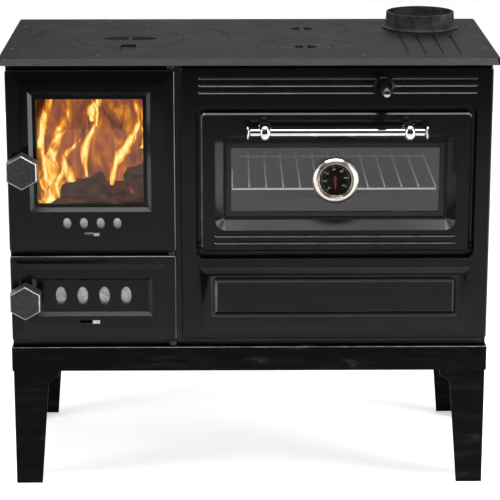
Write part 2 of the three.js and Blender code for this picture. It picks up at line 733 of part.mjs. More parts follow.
function addBody() {
  add('front_frame', frontFrame(), castIron);
  addHingePins();
  add('side_panel_left', sidePanel(-1), enamel);
  add('side_panel_right', sidePanel(1), enamel);
  add('back_panel', backPanel(), blackSteel);
  add('floor_panel', floorPanel(), blackSteel);
  add('plinth', plinth(), blackSteel);
  add('leg_front_left', leg(-1, -1), blackSteel);
  add('leg_front_right', leg(1, -1), blackSteel);
  add('leg_rear_left', leg(-1, 1), blackSteel);
  add('leg_rear_right', leg(1, 1), blackSteel);
}

// ---------------------------------------------------------------- fire door and ash door

function portOutlines(door, ports, shift = 0) {
  return Array.from({ length: portCount }, (_, i) => {
    const x = door.left + ports.fromLeft + (i - (portCount - 1) / 2) * ports.pitch + shift;
    return ellipse(x, door.bottom + ports.fromBottom, ports.rx, ports.rz);
  });
}

// Cast door: eased slab, raised field, sloped recess, hollow back with a rim, air ports and hinge bores.
function castDoor(door, field, ports, slot, latchZ) {
  const slab = easedSlab(door, doorCorner, doorEase, faceY, doorBack);
  const pad = raisedPad(inset(door, fieldBorder), fieldBevel, fieldRaise, faceY);
  const boss = barY(latchX, latchZ, knobNeckRadius, fieldY, faceY + 1);
  const backBoss = barY(latchX, latchZ, knobNeckRadius - 1.5, wallBack - 1, doorBack);
  const hollow = rectangle(
    door.left + doorRim + ropeInset, door.right - ropeHingeInset - ropeWidth - 2,
    door.bottom + doorRim + ropeInset, door.top - doorRim - ropeInset);
  const hollowBack = extrude('front', cornered(hollow, 4), wallBack, doorBack + 1);
  const slotX = door.left + slot.fromLeft;
  const slotZ = door.bottom + slot.fromBottom;
  const cornerRound = cut(
    block(hinge.x, door.right + 1, hinge.y, doorBack + 1, door.bottom - 1, door.top + 1),
    disc(hinge.x, hinge.y, hingeEdge, door.bottom - 2, door.top + 2));
  const body = join(cut(join(slab, pad, boss), hollowBack), backBoss);
  const bore = (z0, z1) => disc(hinge.x, hinge.y, hingePin + pinPlay, z0, z1);
  return cut(body,
    recessCutter(field, recessSlope, recessDepth, fieldY),
    ...portOutlines(door, ports).map((outline) => extrude('front', outline, fieldY - 1, doorBack)),
    extrude('front', slotOutline(slotX, slotZ, slot.length, slot.height), fieldY - 1, doorBack),
    barY(latchX, latchZ, spindleRadius + spindlePlay, fieldY - 1, doorBack + 1),
    bore(door.bottom - 1, door.bottom + hingePinLength + 1),
    bore(door.top - hingePinLength - 1, door.top + 1),
    gasketRing(door, 0, doorBack - ropeGroove, doorBack + 1),
    cornerRound);
}

// Rope gasket's loop round a door's back, or the groove for it.
function gasketRing(door, play, front, back) {
  const outer = rectangle(
    door.left + ropeInset - play, door.right - ropeHingeInset + play,
    door.bottom + ropeInset - play, door.top - ropeInset + play);
  return cut(
    extrude('front', cornered(outer, 6), front, back),
    extrude('front', cornered(inset(outer, ropeWidth + 2 * play), 2), front - 1, back + 1));
}

// Sliding air plate behind a door's ports, with its tab through the slot.
function airSlider(door, ports, slot, backed) {
  const middle = door.left + ports.fromLeft;
  const half = ((portCount - 1) / 2) * ports.pitch + ports.rx + sliderLap;
  const z = door.bottom + ports.fromBottom;
  const slotX = door.left + slot.fromLeft;
  const slotZ = door.bottom + slot.fromBottom;
  const tabRight = slotX + slot.length / 2 - slot.height / 3;
  const tabHalf = slot.height / 2 - seat;
  const [y0, y1] = [wallBack + seat, wallBack + seat + sliderThick];
  const plateBottom = backed ? slotZ - slot.height : z - ports.rz - sliderLap;
  const right = middle + half + ports.pitch / 2;
  const plate = block(middle - half, right, y0, y1, plateBottom, z + ports.rz + sliderLap);
  const stem = block(tabRight - slot.tab, tabRight, y0, y1, slotZ - tabHalf, z);
  const tab = block(tabRight - slot.tab, tabRight, fieldY - tabProud, y1, slotZ - tabHalf, slotZ + tabHalf);
  const holes = portOutlines(door, ports, ports.pitch / 2).map((outline) => extrude('front', outline, y0 - 1, y1 + 1));
  return join(cut(join(plate, stem), ...holes), tab);
}

function hexagon(across) {
  const corner = across / 2 / Math.cos(Math.PI / 6);
  return ellipse(0, 0, corner, corner, 6).map((p) => new THREE.Vector2(p.y, p.x)).reverse();
}

function latchKnob() {
  const back = fieldY - seat - knobNeck;
  const front = back - knobThick;
  const body = loft('front',
    { outline: hexagon(knobFlats - 2 * knobEase), at: back },
    { outline: hexagon(knobFlats), at: back - knobEase },
    { outline: hexagon(knobFlats), at: front + knobEase },
    { outline: hexagon(knobFlats - 2 * knobEase), at: front });
  const neck = barY(0, 0, knobNeckRadius, back - 1, fieldY - seat);
  return cut(join(body, neck), barY(0, 0, spindleRadius + seat, fieldY - spindleInKnob - seat, fieldY + 1));
}

function latchSpindle() {
  const tongueY = frameBack + tongueClear;
  const rod = barY(0, 0, spindleRadius, fieldY - spindleInKnob, tongueY + tongueThick);
  const tongueOutline = slotOutline(tongueLength / 2, 0, tongueLength + tongueWidth, tongueWidth)
    .map((p) => new THREE.Vector2(p.y, -p.x));
  const tongue = extrude('front', tongueOutline, tongueY, tongueY + tongueThick);
  return join(rod, tongue);
}

function addLatch(prefix, z) {
  add(`${prefix}_latch_knob`, latchKnob(), castAluminium, [latchX, 0, z]);
  add(`${prefix}_latch_spindle`, latchSpindle(), bareSteel, [latchX, 0, z]);
}

function addFireDoor() {
  const opening = extrude('front', cornered(fireGlassOpening, fireWindow.corner), fieldY, doorBack);
  const casting = castDoor(fireDoor, windowField, firePorts, fireSlot, fireLatchZ);
  add('fire_door', cut(casting, opening), enamel);
  const pane = inset(fireGlassOpening, -glassLap);
  const glassY = wallBack + seat;
  const retainerY = glassY + glassThick + seat;
  add('fire_door_glass', extrude('front', cornered(pane, 2), glassY, glassY + glassThick), clearPane);
  const retainer = cut(
    extrude('front', cornered(inset(pane, -retainerLap), 4), retainerY, retainerY + retainerThick),
    extrude('front', cornered(inset(fireGlassOpening, -2), 3), retainerY - 1, retainerY + retainerThick + 1));
  add('fire_glass_retainer', retainer, blackSteel);
  add('fire_door_gasket', gasketRing(fireDoor, -seat, doorBack - ropeGroove + seat, frameY - seat / 3), ropeSeal);
  add('fire_air_slider', airSlider(fireDoor, firePorts, fireSlot, true), galvanised);
  addLatch('fire', fireLatchZ);
}

function addAshDoor() {
  add('ash_door', castDoor(ashDoor, ashField, ashPorts, ashSlot, ashLatchZ), enamel);
  add('ash_air_slider', airSlider(ashDoor, ashPorts, ashSlot, false), galvanised);
  addLatch('ash', ashLatchZ);
}

// ---------------------------------------------------------------- oven panel and oven door

// Pressed funnel from a front face back to a level, as its outside and its clear inside.
function funnel(area, slope, depth, radius, wall) {
  const back = faceY + depth;
  const outside = loft('front',
    { outline: cornered(inset(area, -wall), radius + wall), at: faceY },
    { outline: cornered(inset(area, slope - wall), Math.max(radius - slope, 2) + wall), at: back });
  return { outside, inside: recessCutter(area, slope, depth, faceY, radius) };
}

// Shallow sheet pan, open at the back.
function pressedPan(area, corner, ease, back) {
  return cut(
    easedSlab(area, corner, ease, faceY, back),
    easedSlab(inset(area, panelSheet), Math.max(corner - panelSheet, 1), ease, faceY + panelSheet, back + 1));
}

function grooveRows(rows, x0, x1, z) {
  return Array.from({ length: rows.count }, (_, i) => {
    const outline = (by) => slotOutline((x0 + x1) / 2, z - i * rows.pitch, x1 - x0 - 2 * by, rows.width - 2 * by);
    return loft('front',
      { outline: outline(rows.slope), at: faceY + rows.depth },
      { outline: outline(0), at: faceY },
      { outline: outline(0), at: faceY - 1 });
  });
}

function ovenFrontPanel() {
  const back = frameY - seat;
  const { outside, inside } = funnel(recess, ovenRecess.slope, back - faceY, ovenRecess.corner, panelSheet);
  const through = extrude('front', cornered(inset(recess, ovenRecess.slope), 8), back - 1, back + 1);
  const field = rectangle(
    panelArea.left + lowerField.side, panelArea.right - lowerField.side,
    panelArea.bottom + lowerField.bottom, panelArea.bottom + lowerField.bottom + lowerField.height);
  const pad = raisedPad(field, lowerField.bevel, lowerField.raise, faceY);
  const padBack = extrude('front', cornered(inset(field, lowerField.bevel)), faceY + panelSheet, faceY + 7);
  const ring = rectangle(
    field.left + lowerGroove.side, field.right - lowerGroove.side,
    field.bottom + lowerGroove.bottom, field.top - lowerGroove.top);
  const groove = cut(
    recessCutter(ring, lowerGroove.slope / 2, lowerGroove.depth, faceY - lowerField.raise),
    loft('front',
      { outline: cornered(inset(ring, lowerGroove.slope / 2)), at: faceY - lowerField.raise + lowerGroove.depth },
      { outline: cornered(inset(ring, lowerGroove.slope)), at: faceY - lowerField.raise },
      { outline: cornered(inset(ring, lowerGroove.slope + 4)), at: faceY - lowerField.raise - 3 }));
  const rows = grooveRows(trimGroove,
    panelArea.left + trimGroove.fromLeft, panelArea.right - trimGroove.fromRight,
    panelArea.top - trimGroove.fromTop);
  return cut(
    join(pressedPan(panelArea, panelCorner, panelEase, back), outside, pad, padBack),
    inside, through, groove, ...rows,
    barY(rodX, rodZ, rodRadius + 3, faceY - 1, faceY + panelSheet + 1));
}

function ovenDoorSkin() {
  const { outside, inside } = funnel(surround, surroundSlope, surroundDepth, surroundCorner, panelSheet);
  const foot = extrude('front', cornered(inset(surroundFoot, -panelSheet), 4),
    surroundY - 0.5, surroundY + panelSheet);
  const glassOpening = extrude('front', cornered(inset(surroundFoot, glassHold), 2),
    surroundY - 1, surroundY + panelSheet + 1);
  const rows = grooveRows(doorGroove,
    ovenDoor.left + doorGroove.side, ovenDoor.right - doorGroove.side,
    ovenDoor.bottom + doorGroove.fromBottom + doorGroove.pitch);
  const relief = cut(
    block(ovenDoor.left - 1, ovenDoor.right + 1, ovenHinge.y, ovenSkinBack + 1, ovenDoor.bottom - 1, ovenHinge.z),
    barX(ovenHinge.y, ovenHinge.z, ovenHingeEdge, ovenDoor.left - 2, ovenDoor.right + 2));
  return cut(
    join(pressedPan(ovenDoor, ovenDoorCorner, ovenDoorEase, ovenSkinBack), outside, foot),
    inside, glassOpening, ...rows, relief,
    barX(ovenHinge.y, ovenHinge.z, ovenPin + seat, ovenDoor.left - 1, ovenDoor.right + 1));
}

function ovenInnerPanel() {
  const plate = inset(ovenDoor, panelSheet + seat);
  const tub = rectangle(
    mouth.left + plugClear, mouth.right - plugClear, mouth.bottom + plugClear, mouth.top - plugClear - 1);
  const tubBack = ovenGlassBack + seat + panelSheet;
  const flangeY = ovenSkinBack - panelSheet;
  plate.bottom = ovenHinge.z + ovenHingeEdge;
  return cut(
    join(
      extrude('front', cornered(plate, 5), flangeY, ovenSkinBack),
      extrude('front', cornered(tub, 10), flangeY, tubBack)),
    extrude('front', cornered(inset(tub, panelSheet), 8), flangeY - 1, tubBack - panelSheet),
    extrude('front', cornered(clearGlass, 4), tubBack - panelSheet - 1, tubBack + 1));
}

function ovenGlass() {
  return cut(
    extrude('front', cornered(inset(surroundFoot, seat), 2), ovenGlassY, ovenGlassBack),
    barY(ovenMiddle, bezelZ, stemHole, ovenGlassY - 1, ovenGlassBack + 1));
}

// Handle bar with its turned end knobs, about the bar's own middle.
function handleBar() {
  const end = handleHalf;
  const neck = handleRadius;
  const head = collarRadius - 1.2;
  const half = [
    [neck, end - 9], [neck + 2.5, end - 8], [head - 1, end - 6], [head, end - 4.5],
    [head, end - 3], [head - 2, end - 1.5], [neck - 2, end],
  ];
  const mirrored = half.map(([r, h]) => [r, -h]).reverse();
  return turned([[0, -end], ...mirrored, ...half, [0, end]], 'x');
}

// Post: rosette on the door, stem, and a flattened ball collar round the bar.
function handlePost() {
  const stemBack = handleStandOff - seat;
  const collarHalf = collarWidth / 2;
  const bore = handleRadius + seat;
  const round = [-1, -0.9, -0.6, -0.25, 0.25, 0.6, 0.9, 1].map((along) => {
    const rise = Math.sqrt(1 - along * along * 0.94);
    return [bore + (collarRadius - bore) * rise, along * collarHalf];
  });
  const collar = turned([[bore, -collarHalf], ...round, [bore, collarHalf]], 'x');
  const rosette = turned([
    [0, 0], [rosetteRadius, 0], [rosetteRadius, rosetteThick * 0.5],
    [handlePostRadius + 2, rosetteThick], [0, rosetteThick],
  ], 'front').translate(0, stemBack, 0);
  const stem = cut(barY(0, 0, handlePostRadius, 0, stemBack), barX(0, 0, bore + 1, -collarWidth, collarWidth));
  return join(collar, rosette, stem);
}

function thermometerCase() {
  const r = bezelRadius;
  const d = bezelDepth;
  const cup = turned([
    [0, 0], [r * 0.72, 0], [r * 0.9, d * 0.08], [r * 0.985, d * 0.25], [r, d * 0.4], [r * 0.97, d * 0.6],
    [r * 0.9, d * 0.82], [r * 0.84, d * 0.95], [r * 0.8, d], [dialRadius + 1.5, d - 0.5],
    [dialRadius + 1.5, d - 5], [dialRadius, d - 5.3], [dialRadius, 4], [0, 4],
  ], 'front');
  return join(cup, barY(0, 0, stemRadius, -1, stemLength));
}

function addThermometer() {
  const place = [ovenMiddle, bezelY, bezelZ];
  add('thermometer_case', thermometerCase(), chrome, place);
  const dialLevel = 4 + seat;
  const post = turned([
    [0, 0], [dialRadius - seat, 0], [dialRadius - seat, 1], [1.2, 1], [1.2, 5], [0, 5],
  ], 'front');
  add('thermometer_dial', post, dialFace, [place[0], place[1] - dialLevel, place[2]]);
  const hub = turned([[1.5, 0], [3.2, 0], [3.2, 1.6], [1.5, 1.6]], 'front');
  const blade = [[-2, 1], [-2, -4], [-0.6, -needleLength], [0.6, -needleLength], [2, -4], [2, 1]]
    .map(([u, v]) => new THREE.Vector2(u, v));
  const pointer = cut(extrude('front', blade, -1.3, -0.3), barY(0, 0, 1.5, -2, 1));
  const tail = cut(extrude('front', cornered(rectangle(-1, 1, -1, 7)), -1.3, -0.3), barY(0, 0, 1.5, -2, 1));
  add('thermometer_needle', join(hub, pointer, tail), needleRed, [place[0], place[1] - dialLevel - 2, place[2]]);
  const lensLevel = bezelDepth - 5 + seat;
  const lens = turned([
    [0, 0], [dialRadius + 1.2, 0], [dialRadius + 1.2, 1.4], [dialRadius * 0.5, 2.1], [0, 2.3],
  ], 'front');
  add('thermometer_lens', lens, clearPane, [place[0], place[1] - lensLevel, place[2]]);
}

// Lug on the frame beside the oven door, with the pin that the door turns on.
function ovenHingeLug(side) {
  const doorEdge = side < 0 ? ovenDoor.left : ovenDoor.right;
  const near = doorEdge + side;
  const far = near + side * ovenLug;
  const lugArea = rectangle(ovenHinge.y - ovenHingeEdge, frameY - seat, ovenDoor.bottom, ovenHinge.z + ovenHingeEdge);
  const [x0, x1] = [Math.min(near, far), Math.max(near, far)];
  const pinEnd = doorEdge - side * ovenPinLength;
  return join(
    extrude('side', cornered(lugArea, 4), x0, x1),
    barX(ovenHinge.y, ovenHinge.z, ovenPin, Math.min(far, pinEnd), Math.max(far, pinEnd)));
}

function addOvenFront() {
  add('oven_front_panel', ovenFrontPanel(), enamel);
  add('oven_hinge_left', ovenHingeLug(-1), bareSteel);
  add('oven_hinge_right', ovenHingeLug(1), bareSteel);
  add('oven_door_skin', ovenDoorSkin(), enamel);
  add('oven_door_inner_panel', ovenInnerPanel(), blackSteel);
  add('oven_door_glass', ovenGlass(), smokedGlass);
  add('oven_handle_bar', handleBar(), chrome, [ovenMiddle, handleY, handleZ]);
  add('oven_handle_post_left', handlePost(), chrome, [ovenMiddle - handlePostSpan / 2, handleY, handleZ]);
  add('oven_handle_post_right', handlePost(), chrome, [ovenMiddle + handlePostSpan / 2, handleY, handleZ]);
  addThermometer();
}

// ---------------------------------------------------------------- oven inside

const ovenFront = frameBack + seat;
const ovenBack = ovenFront + ovenDepth;

function ovenBox() {
  const shell = cut(
    block(mouth.left - ovenWall, mouth.right + ovenWall, ovenFront, ovenBack,
      mouth.bottom - ovenWall, mouth.top + ovenWall),
    block(mouth.left, mouth.right, ovenFront - 1, ovenBack - ovenWall, mouth.bottom, mouth.top));
  const flange = cut(
    extrude('front', cornered(inset(mouth, -ovenFlange)), ovenFront, ovenFront + ovenWall),
    extrude('front', cornered(mouth), ovenFront - 1, ovenFront + ovenWall + 1));
  const reach = rackInset + shelfLap;
  const shelves = shelfLevels.flatMap((level) => {
    const top = mouth.bottom + level;
    const [y0, y1] = [ovenFront + shelfFromFront, ovenBack - shelfFromBack];
    return [
      block(mouth.left - 1, mouth.left + reach, y0, y1, top - ovenWall, top),
      block(mouth.right - reach, mouth.right + 1, y0, y1, top - ovenWall, top),
    ];
  });
  return join(shell, flange, ...shelves);
}

function ovenRack() {
  const half = (mouth.right - mouth.left) / 2 - rackInset;
  const pitch = (2 * half) / (rackWires - 1);
  const y0 = frameBack + rackSetback;
  const y1 = y0 + rackDepth;
  const barZ = mouth.bottom + rackLevel + seat + rackBar;
  const wireZ = barZ + rackBar + rackWire - rackWeld;
  const bars = [y0, y1].map((y) => barX(y, barZ, rackBar, ovenMiddle - half - rackWire, ovenMiddle + half + rackWire, 8));
  const wires = Array.from({ length: rackWires }, (_, i) => (
    barY(ovenMiddle - half + i * pitch, wireZ, rackWire, y0 - rackBar, y1 + rackBar, 6)));
  return join(...bars, ...wires);
}

function addOven() {
  add('oven_box', ovenBox(), blackSteel);
  add('oven_rack', ovenRack(), bareSteel);
}

// ---------------------------------------------------------------- firebox and ash pit

const linerBottom = firePlateTop + seat;
const linerTop = hobUnder - linerBelowHob;

function fireboxFloor() {
  const plate = block(innerLeft + seat, partitionX - seat, innerFront, innerBack, firePlateBottom, firePlateTop);
  const halfX = grate.width / 2 - grate.seatLap;
  const halfY = grate.depth / 2 - grate.seatLap;
  return cut(plate, block(
    fireMiddleX - halfX, fireMiddleX + halfX, grateY - halfY, grateY + halfY,
    firePlateBottom - 1, firePlateTop + 1));
}

function fireGrate() {
  const [x0, x1] = [fireMiddleX - grate.width / 2, fireMiddleX + grate.width / 2];
  const [y0, y1] = [grateY - grate.depth / 2, grateY + grate.depth / 2];
  const blank = extrude('plan', cornered(rectangle(x0, x1, y0, y1), 10), linerBottom, linerBottom + grate.thick);
  const clear = grate.width - 2 * grate.rim;
  const count = Math.floor((clear + grate.bar) / (grate.bar + grate.slot));
  const width = count * grate.slot + (count - 1) * grate.bar;
  const slots = Array.from({ length: count }, (_, i) => {
    const left = fireMiddleX - width / 2 + i * (grate.bar + grate.slot);
    const outline = cornered(rectangle(left, left + grate.slot, y0 + grate.rim, y1 - grate.rim), grate.slot / 2 - 0.2);
    return extrude('plan', outline, linerBottom - 1, linerBottom + grate.thick + 1);
  });
  return cut(blank, ...slots);
}

function liners() {
  const [y0, y1] = [fireboxY, fireboxY + fireboxDepth];
  const rightOuter = partitionX - seat;
  return {
    left: block(fireboxLeft, fireboxLeft + linerThick, y0, y1, linerBottom, linerTop),
    right: block(rightOuter - linerThick, rightOuter, y0, y1, linerBottom, linerTop),
    back: block(fireboxLeft + linerThick + seat, rightOuter - linerThick - seat, y1 - linerThick, y1,
      linerBottom, linerTop),
  };
}

// Ash pan: tapered tray with a rolled rim and a front handle.
function ashPan() {
  const [x0, x1] = [fireMiddleX - pan.width / 2, fireMiddleX + pan.width / 2];
  const y0 = frameBack + pan.setback;
  const bottom = bodyFloor + seat;
  const area = (by) => cornered(rectangle(x0 + by, x1 - by, y0 + by, y0 + pan.depth - by), 8);
  const tray = cut(
    loft('plan', { outline: area(pan.draft), at: bottom }, { outline: area(0), at: bottom + pan.height }),
    loft('plan',
      { outline: area(pan.draft + pan.wall), at: bottom + pan.wall },
      { outline: area(pan.wall), at: bottom + pan.height + 0.5 }));
  const rim = cut(
    extrude('plan', cornered(rectangle(x0 - pan.rim, x1 + pan.rim, y0 - 2, y0 + pan.depth + pan.rim), 8),
      bottom + pan.height - pan.wall, bottom + pan.height),
    extrude('plan', area(pan.wall), bottom + pan.height - 3, bottom + pan.height + 1));
  const gripHalf = 45;
  const gripZ = bottom + pan.height * 0.6;
  const grip = cut(
    block(fireMiddleX - gripHalf, fireMiddleX + gripHalf, y0 - 12, y0 + 4, gripZ - 2, gripZ + 2),
    block(fireMiddleX - gripHalf + 5, fireMiddleX + gripHalf - 5, y0 - 8, y0 + 5, gripZ - 3, gripZ + 3));
  return join(tray, rim, grip);
}

function partition() {
  return block(partitionX, partitionX + sheet, innerFront, innerBack, bodyFloor + seat, hobHeight - partitionTop);
}

function addFirebox() {
  add('firebox_floor', fireboxFloor(), castIron);
  add('fire_grate', fireGrate(), castIron);
  const { left, right, back } = liners();
  add('fire_liner_left', left, firebrick);
  add('fire_liner_right', right, firebrick);
  add('fire_liner_back', back, firebrick);
  add('ash_pan', ashPan(), galvanised);
  add('firebox_partition', partition(), blackSteel);
}

// ---------------------------------------------------------------- flue damper

// Chamber under the flue: its floor has the direct hole, which the damper plate closes, and the
// slot by which smoke comes up from behind the oven.
function flueBox() {
  const { wall, lip } = fluePassage;
  const apronFront = passageFront - damperTravel;
  const shell = cut(
    block(passage.left, passage.right, passageFront, passageBack, passage.bottom, passage.top),
    block(passage.left + wall, passage.right - wall, passageFront + wall, passageBack - wall,
      passage.bottom + wall, passage.top + 1));
  const front = block(
    passage.left, passage.right, apronFront, passageFront + 1, passage.bottom, passage.bottom + wall);
  const lipTop = damperBottom - seat;
  const rail = (side) => {
    const outer = side < 0 ? passage.left : passage.right;
    const [x0, x1] = [Math.min(outer, outer - side * wall), Math.max(outer, outer - side * wall)];
    const [l0, l1] = [Math.min(outer, outer - side * lip), Math.max(outer, outer - side * lip)];
    const railBack = passageBack - returnSlot.depth - 6;
    return join(
      block(x0, x1, apronFront, railBack, lipTop - wall, passage.bottom + 0.5),
      block(l0, l1, apronFront, railBack, lipTop - wall, lipTop));
  };
  return cut(
    join(shell, front, rail(-1), rail(1)),
    disc(flueX, damperHoleY, damperHole, passage.bottom - 1, passage.bottom + wall + 1),
    block(flueX - returnSlot.width / 2, flueX + returnSlot.width / 2,
      passageBack - returnSlot.depth, passageBack - 2 * wall, passage.bottom - 1, passage.bottom + wall + 1));
}

function addDamper() {
  const tipY = faceY - rodReach;
  const rodFrontY = tipY + tipLength - 4;
  const plateBack = damperHoleY + damperHole + 7;
  const plateFront = plateBack - damperPlate.depth;
  const play = fluePassage.wall + seat;
  const plate = block(passage.left + play, passage.right - play, plateFront, plateBack, damperBottom, damperTop);
  add('flue_box', flueBox(), blackSteel);
  add('damper_plate', plate, blackSteel);
  const rod = join(
    barY(rodX, rodZ, rodRadius, rodFrontY, plateFront + rodUnderPlate),
    block(rodX - rodRadius, rodX + rodRadius, plateFront + 2, plateFront + rodUnderPlate, rodZ, damperBottom - seat));
  add('damper_rod', rod, bareSteel);
  const gripBack = faceY - bossHeight - 1 - seat;
  const gripFront = tipY + tipLength + seat;
  const gripLength = gripBack - gripFront;
  const bore = rodRadius + seat;
  const grip = turned([
    [bore, 0], [gripRadius, 0], [gripRadius + 0.5, gripLength * 0.3], [gripRadius - 0.8, gripLength - 1],
    [gripRadius - 1.8, gripLength], [bore, gripLength],
  ], 'front');
  add('damper_grip', grip, bakelite, [rodX, gripBack, rodZ]);
  const tip = turned([
    [bore, 0], [tipRadius, 0], [tipRadius, tipLength - 3], [tipRadius - 2, tipLength - 0.6], [0, tipLength],
    [0, 5], [bore, 5],
  ], 'front');
  add('damper_tip', tip, chrome, [rodX, tipY + tipLength, rodZ]);
  const boss = turned([
    [bore, 0], [bossRadius, 0], [bossRadius, 2], [bossRadius - 4, bossHeight - 2], [bossRadius - 7, bossHeight],
    [bore, bossHeight],
  ], 'front');
  add('damper_boss', boss, bakelite, [rodX, faceY - seat, rodZ]);
}

addHob();
addFlueCollar();
addBody();
addFireDoor();
addAshDoor();
addOvenFront();
addOven();
addFirebox();
addDamper();

export default stove;
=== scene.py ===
"""Looks of a free-standing wood cookstove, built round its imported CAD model."""
import json
import math

import bmesh
import bpy
from mathutils import Matrix, Vector, noise


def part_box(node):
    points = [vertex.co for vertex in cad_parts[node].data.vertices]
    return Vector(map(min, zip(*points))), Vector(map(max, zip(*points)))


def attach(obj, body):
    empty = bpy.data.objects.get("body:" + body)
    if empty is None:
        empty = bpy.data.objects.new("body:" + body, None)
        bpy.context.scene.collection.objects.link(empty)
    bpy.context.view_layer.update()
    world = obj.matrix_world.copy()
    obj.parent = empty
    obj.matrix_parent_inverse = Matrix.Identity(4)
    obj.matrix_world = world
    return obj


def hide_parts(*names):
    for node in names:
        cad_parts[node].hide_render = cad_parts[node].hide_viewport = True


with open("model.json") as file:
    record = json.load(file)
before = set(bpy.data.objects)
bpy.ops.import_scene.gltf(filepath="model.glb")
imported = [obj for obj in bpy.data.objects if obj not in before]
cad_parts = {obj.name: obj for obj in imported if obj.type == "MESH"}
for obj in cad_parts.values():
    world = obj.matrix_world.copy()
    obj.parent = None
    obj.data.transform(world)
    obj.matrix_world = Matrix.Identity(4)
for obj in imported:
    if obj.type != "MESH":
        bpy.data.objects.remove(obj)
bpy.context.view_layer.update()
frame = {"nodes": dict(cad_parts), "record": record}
nodes = frame["nodes"]
body_of = {n: b for b, names in frame["record"]["behaviour"]["bodies"].items() for n in names}
slot_of = {s["node"]: s["material_slot"] for s in frame["record"]["subparts"]}
MM = 0.001


def mm(*values):
    """A point or a size in millimetres, as metres."""
    return Vector([v * MM for v in values])


def box_mm(node):
    """The low and the high corner of a CAD node's box, in millimetres."""
    return [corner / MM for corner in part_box(node)]


def middle(node):
    """The centre of a CAD node's box, in millimetres."""
    low, high = box_mm(node)
    return (low + high) / 2


# ---------------------------------------- camera, floor and light

# where the photographer stood: high, far away and looking down a little
camera_place = (-0.0368, -3.964, 1.4905)
camera_turn = (math.radians(90 - 15.3), 0, math.radians(-0.574))
focal_length = 154.0
floor_radius = 3.4
# each with its place, the point it faces, its width and height, and its power in watts
lights = {
    "softbox_overhead": ((0.1, -0.7, 3.2), (0, -0.1, 0.5), (2.6, 2.0), 30),
    "strip_overhead": ((0.0, -0.7, 3.0), (0, -0.2, 0.5), (2.4, 0.6), 70),
    "softbox_right": ((3.0, -1.4, 1.9), (0, 0, 0.5), (1.0, 2.2), 42),
    "softbox_left": ((-3.0, -1.2, 1.9), (0, 0, 0.5), (0.7, 2.2), 26),
    "softbox_back": ((0.4, 3.0, 2.2), (0, 0, 0.6), (2.4, 1.4), 22),
    "low_panel_right": ((1.7, -0.55, 0.5), (0, -0.2, 0.5), (0.9, 0.9), 28),
    "low_panel_left": ((-1.7, -0.55, 0.5), (0, -0.2, 0.5), (0.9, 0.9), 9),
}


def set_camera():
    data = bpy.data.cameras.new("camera")
    data.lens = focal_length
    data.clip_end = 50
    camera = bpy.data.objects.new("camera", data)
    camera.location = camera_place
    camera.rotation_euler = camera_turn
    bpy.context.scene.collection.objects.link(camera)
    bpy.context.scene.camera = camera


def set_lights():
    for name, (place, aim, size, power) in lights.items():
        data = bpy.data.lights.new(name, "AREA")
        data.shape = "RECTANGLE"
        data.size, data.size_y = size
        data.energy = power
        lamp = bpy.data.objects.new(name, data)
        lamp.location = place
        lamp.rotation_euler = (Vector(aim) - Vector(place)).to_track_quat("-Z", "Y").to_euler()
        bpy.context.scene.collection.objects.link(lamp)


def set_stage():
    """A round pale floor that fades into the white behind it."""
    mesh = bpy.data.meshes.new("floor")
    steps = 96
    angles = [2 * math.pi * i / steps for i in range(steps)]
    rim = [(floor_radius * math.cos(a), floor_radius * math.sin(a), 0) for a in angles]
    mesh.from_pydata(rim, [], [tuple(range(steps))])
    mesh.materials.append(pale_floor())
    floor = bpy.data.objects.new("floor", mesh)
    bpy.context.scene.collection.objects.link(floor)


def set_room():
    """White to the camera; to the stove, a pale room whose wall behind the photographer is dark."""
    world = bpy.data.worlds.new("room")
    world.use_nodes = True
    tree = world.node_tree
    tree.nodes.clear()
    path = add(tree, "ShaderNodeLightPath").outputs["Is Camera Ray"]
    way = add(tree, "ShaderNodeTexCoord").outputs["Generated"]
    axes = add(tree, "ShaderNodeSeparateXYZ", {0: way})
    up, away = axes.outputs["Z"], axes.outputs["Y"]
    above = add(tree, "ShaderNodeMapRange", {"Value": up, 1: 0.45, 2: 0.8, 3: 0.0, 4: 1.0})
    behind = add(tree, "ShaderNodeMapRange", {"Value": away, 1: -0.5, 2: 0.0, 3: 0.0, 4: 1.0})
    lit = add(tree, "ShaderNodeMath", {0: above, 1: behind}, operation="MAXIMUM")
    strength = add(tree, "ShaderNodeMapRange", {"Value": lit, 1: 0.0, 2: 1.0, 3: 0.06, 4: 0.62})
    room = add(tree, "ShaderNodeBackground", {"Color": linear("c9ccd0"), "Strength": strength})
    seen = add(tree, "ShaderNodeBackground", {"Color": linear("ffffff"), "Strength": 1.0})
    mix = add(tree, "ShaderNodeMixShader", {0: path, 1: room, 2: seen})
    add(tree, "ShaderNodeOutputWorld", {"Surface": mix})
    bpy.context.scene.world = world
    bpy.context.scene.view_settings.view_transform = "Standard"


# ---------------------------------------- materials

def linear(hex_colour):
    """An sRGB hex colour as linear RGBA."""
    parts = [int(hex_colour[i:i + 2], 16) / 255 for i in (0, 2, 4)]
    return [c / 12.92 if c <= 0.04045 else ((c + 0.055) / 1.055) ** 2.4 for c in parts] + [1.0]


def add(tree, kind, inputs=None, stops=None, **settings):
    """One node with its settings, its colour stops and its inputs.

    An input is given a value, a socket, or a node whose first output it takes.
    """
    node = tree.nodes.new(kind)
    for name, value in settings.items():
        setattr(node, name, value)
    for socket, value in (inputs or {}).items():
        if isinstance(value, bpy.types.Node):
            value = value.outputs[0]
        if isinstance(value, bpy.types.NodeSocket):
            tree.links.new(value, node.inputs[socket])
        else:
            node.inputs[socket].default_value = value
    if stops:
        while len(node.color_ramp.elements) < len(stops):
            node.color_ramp.elements.new(0.5)
        for element, (place, colour) in zip(node.color_ramp.elements, stops):
            element.position = place
            element.color = linear(colour)
    return node


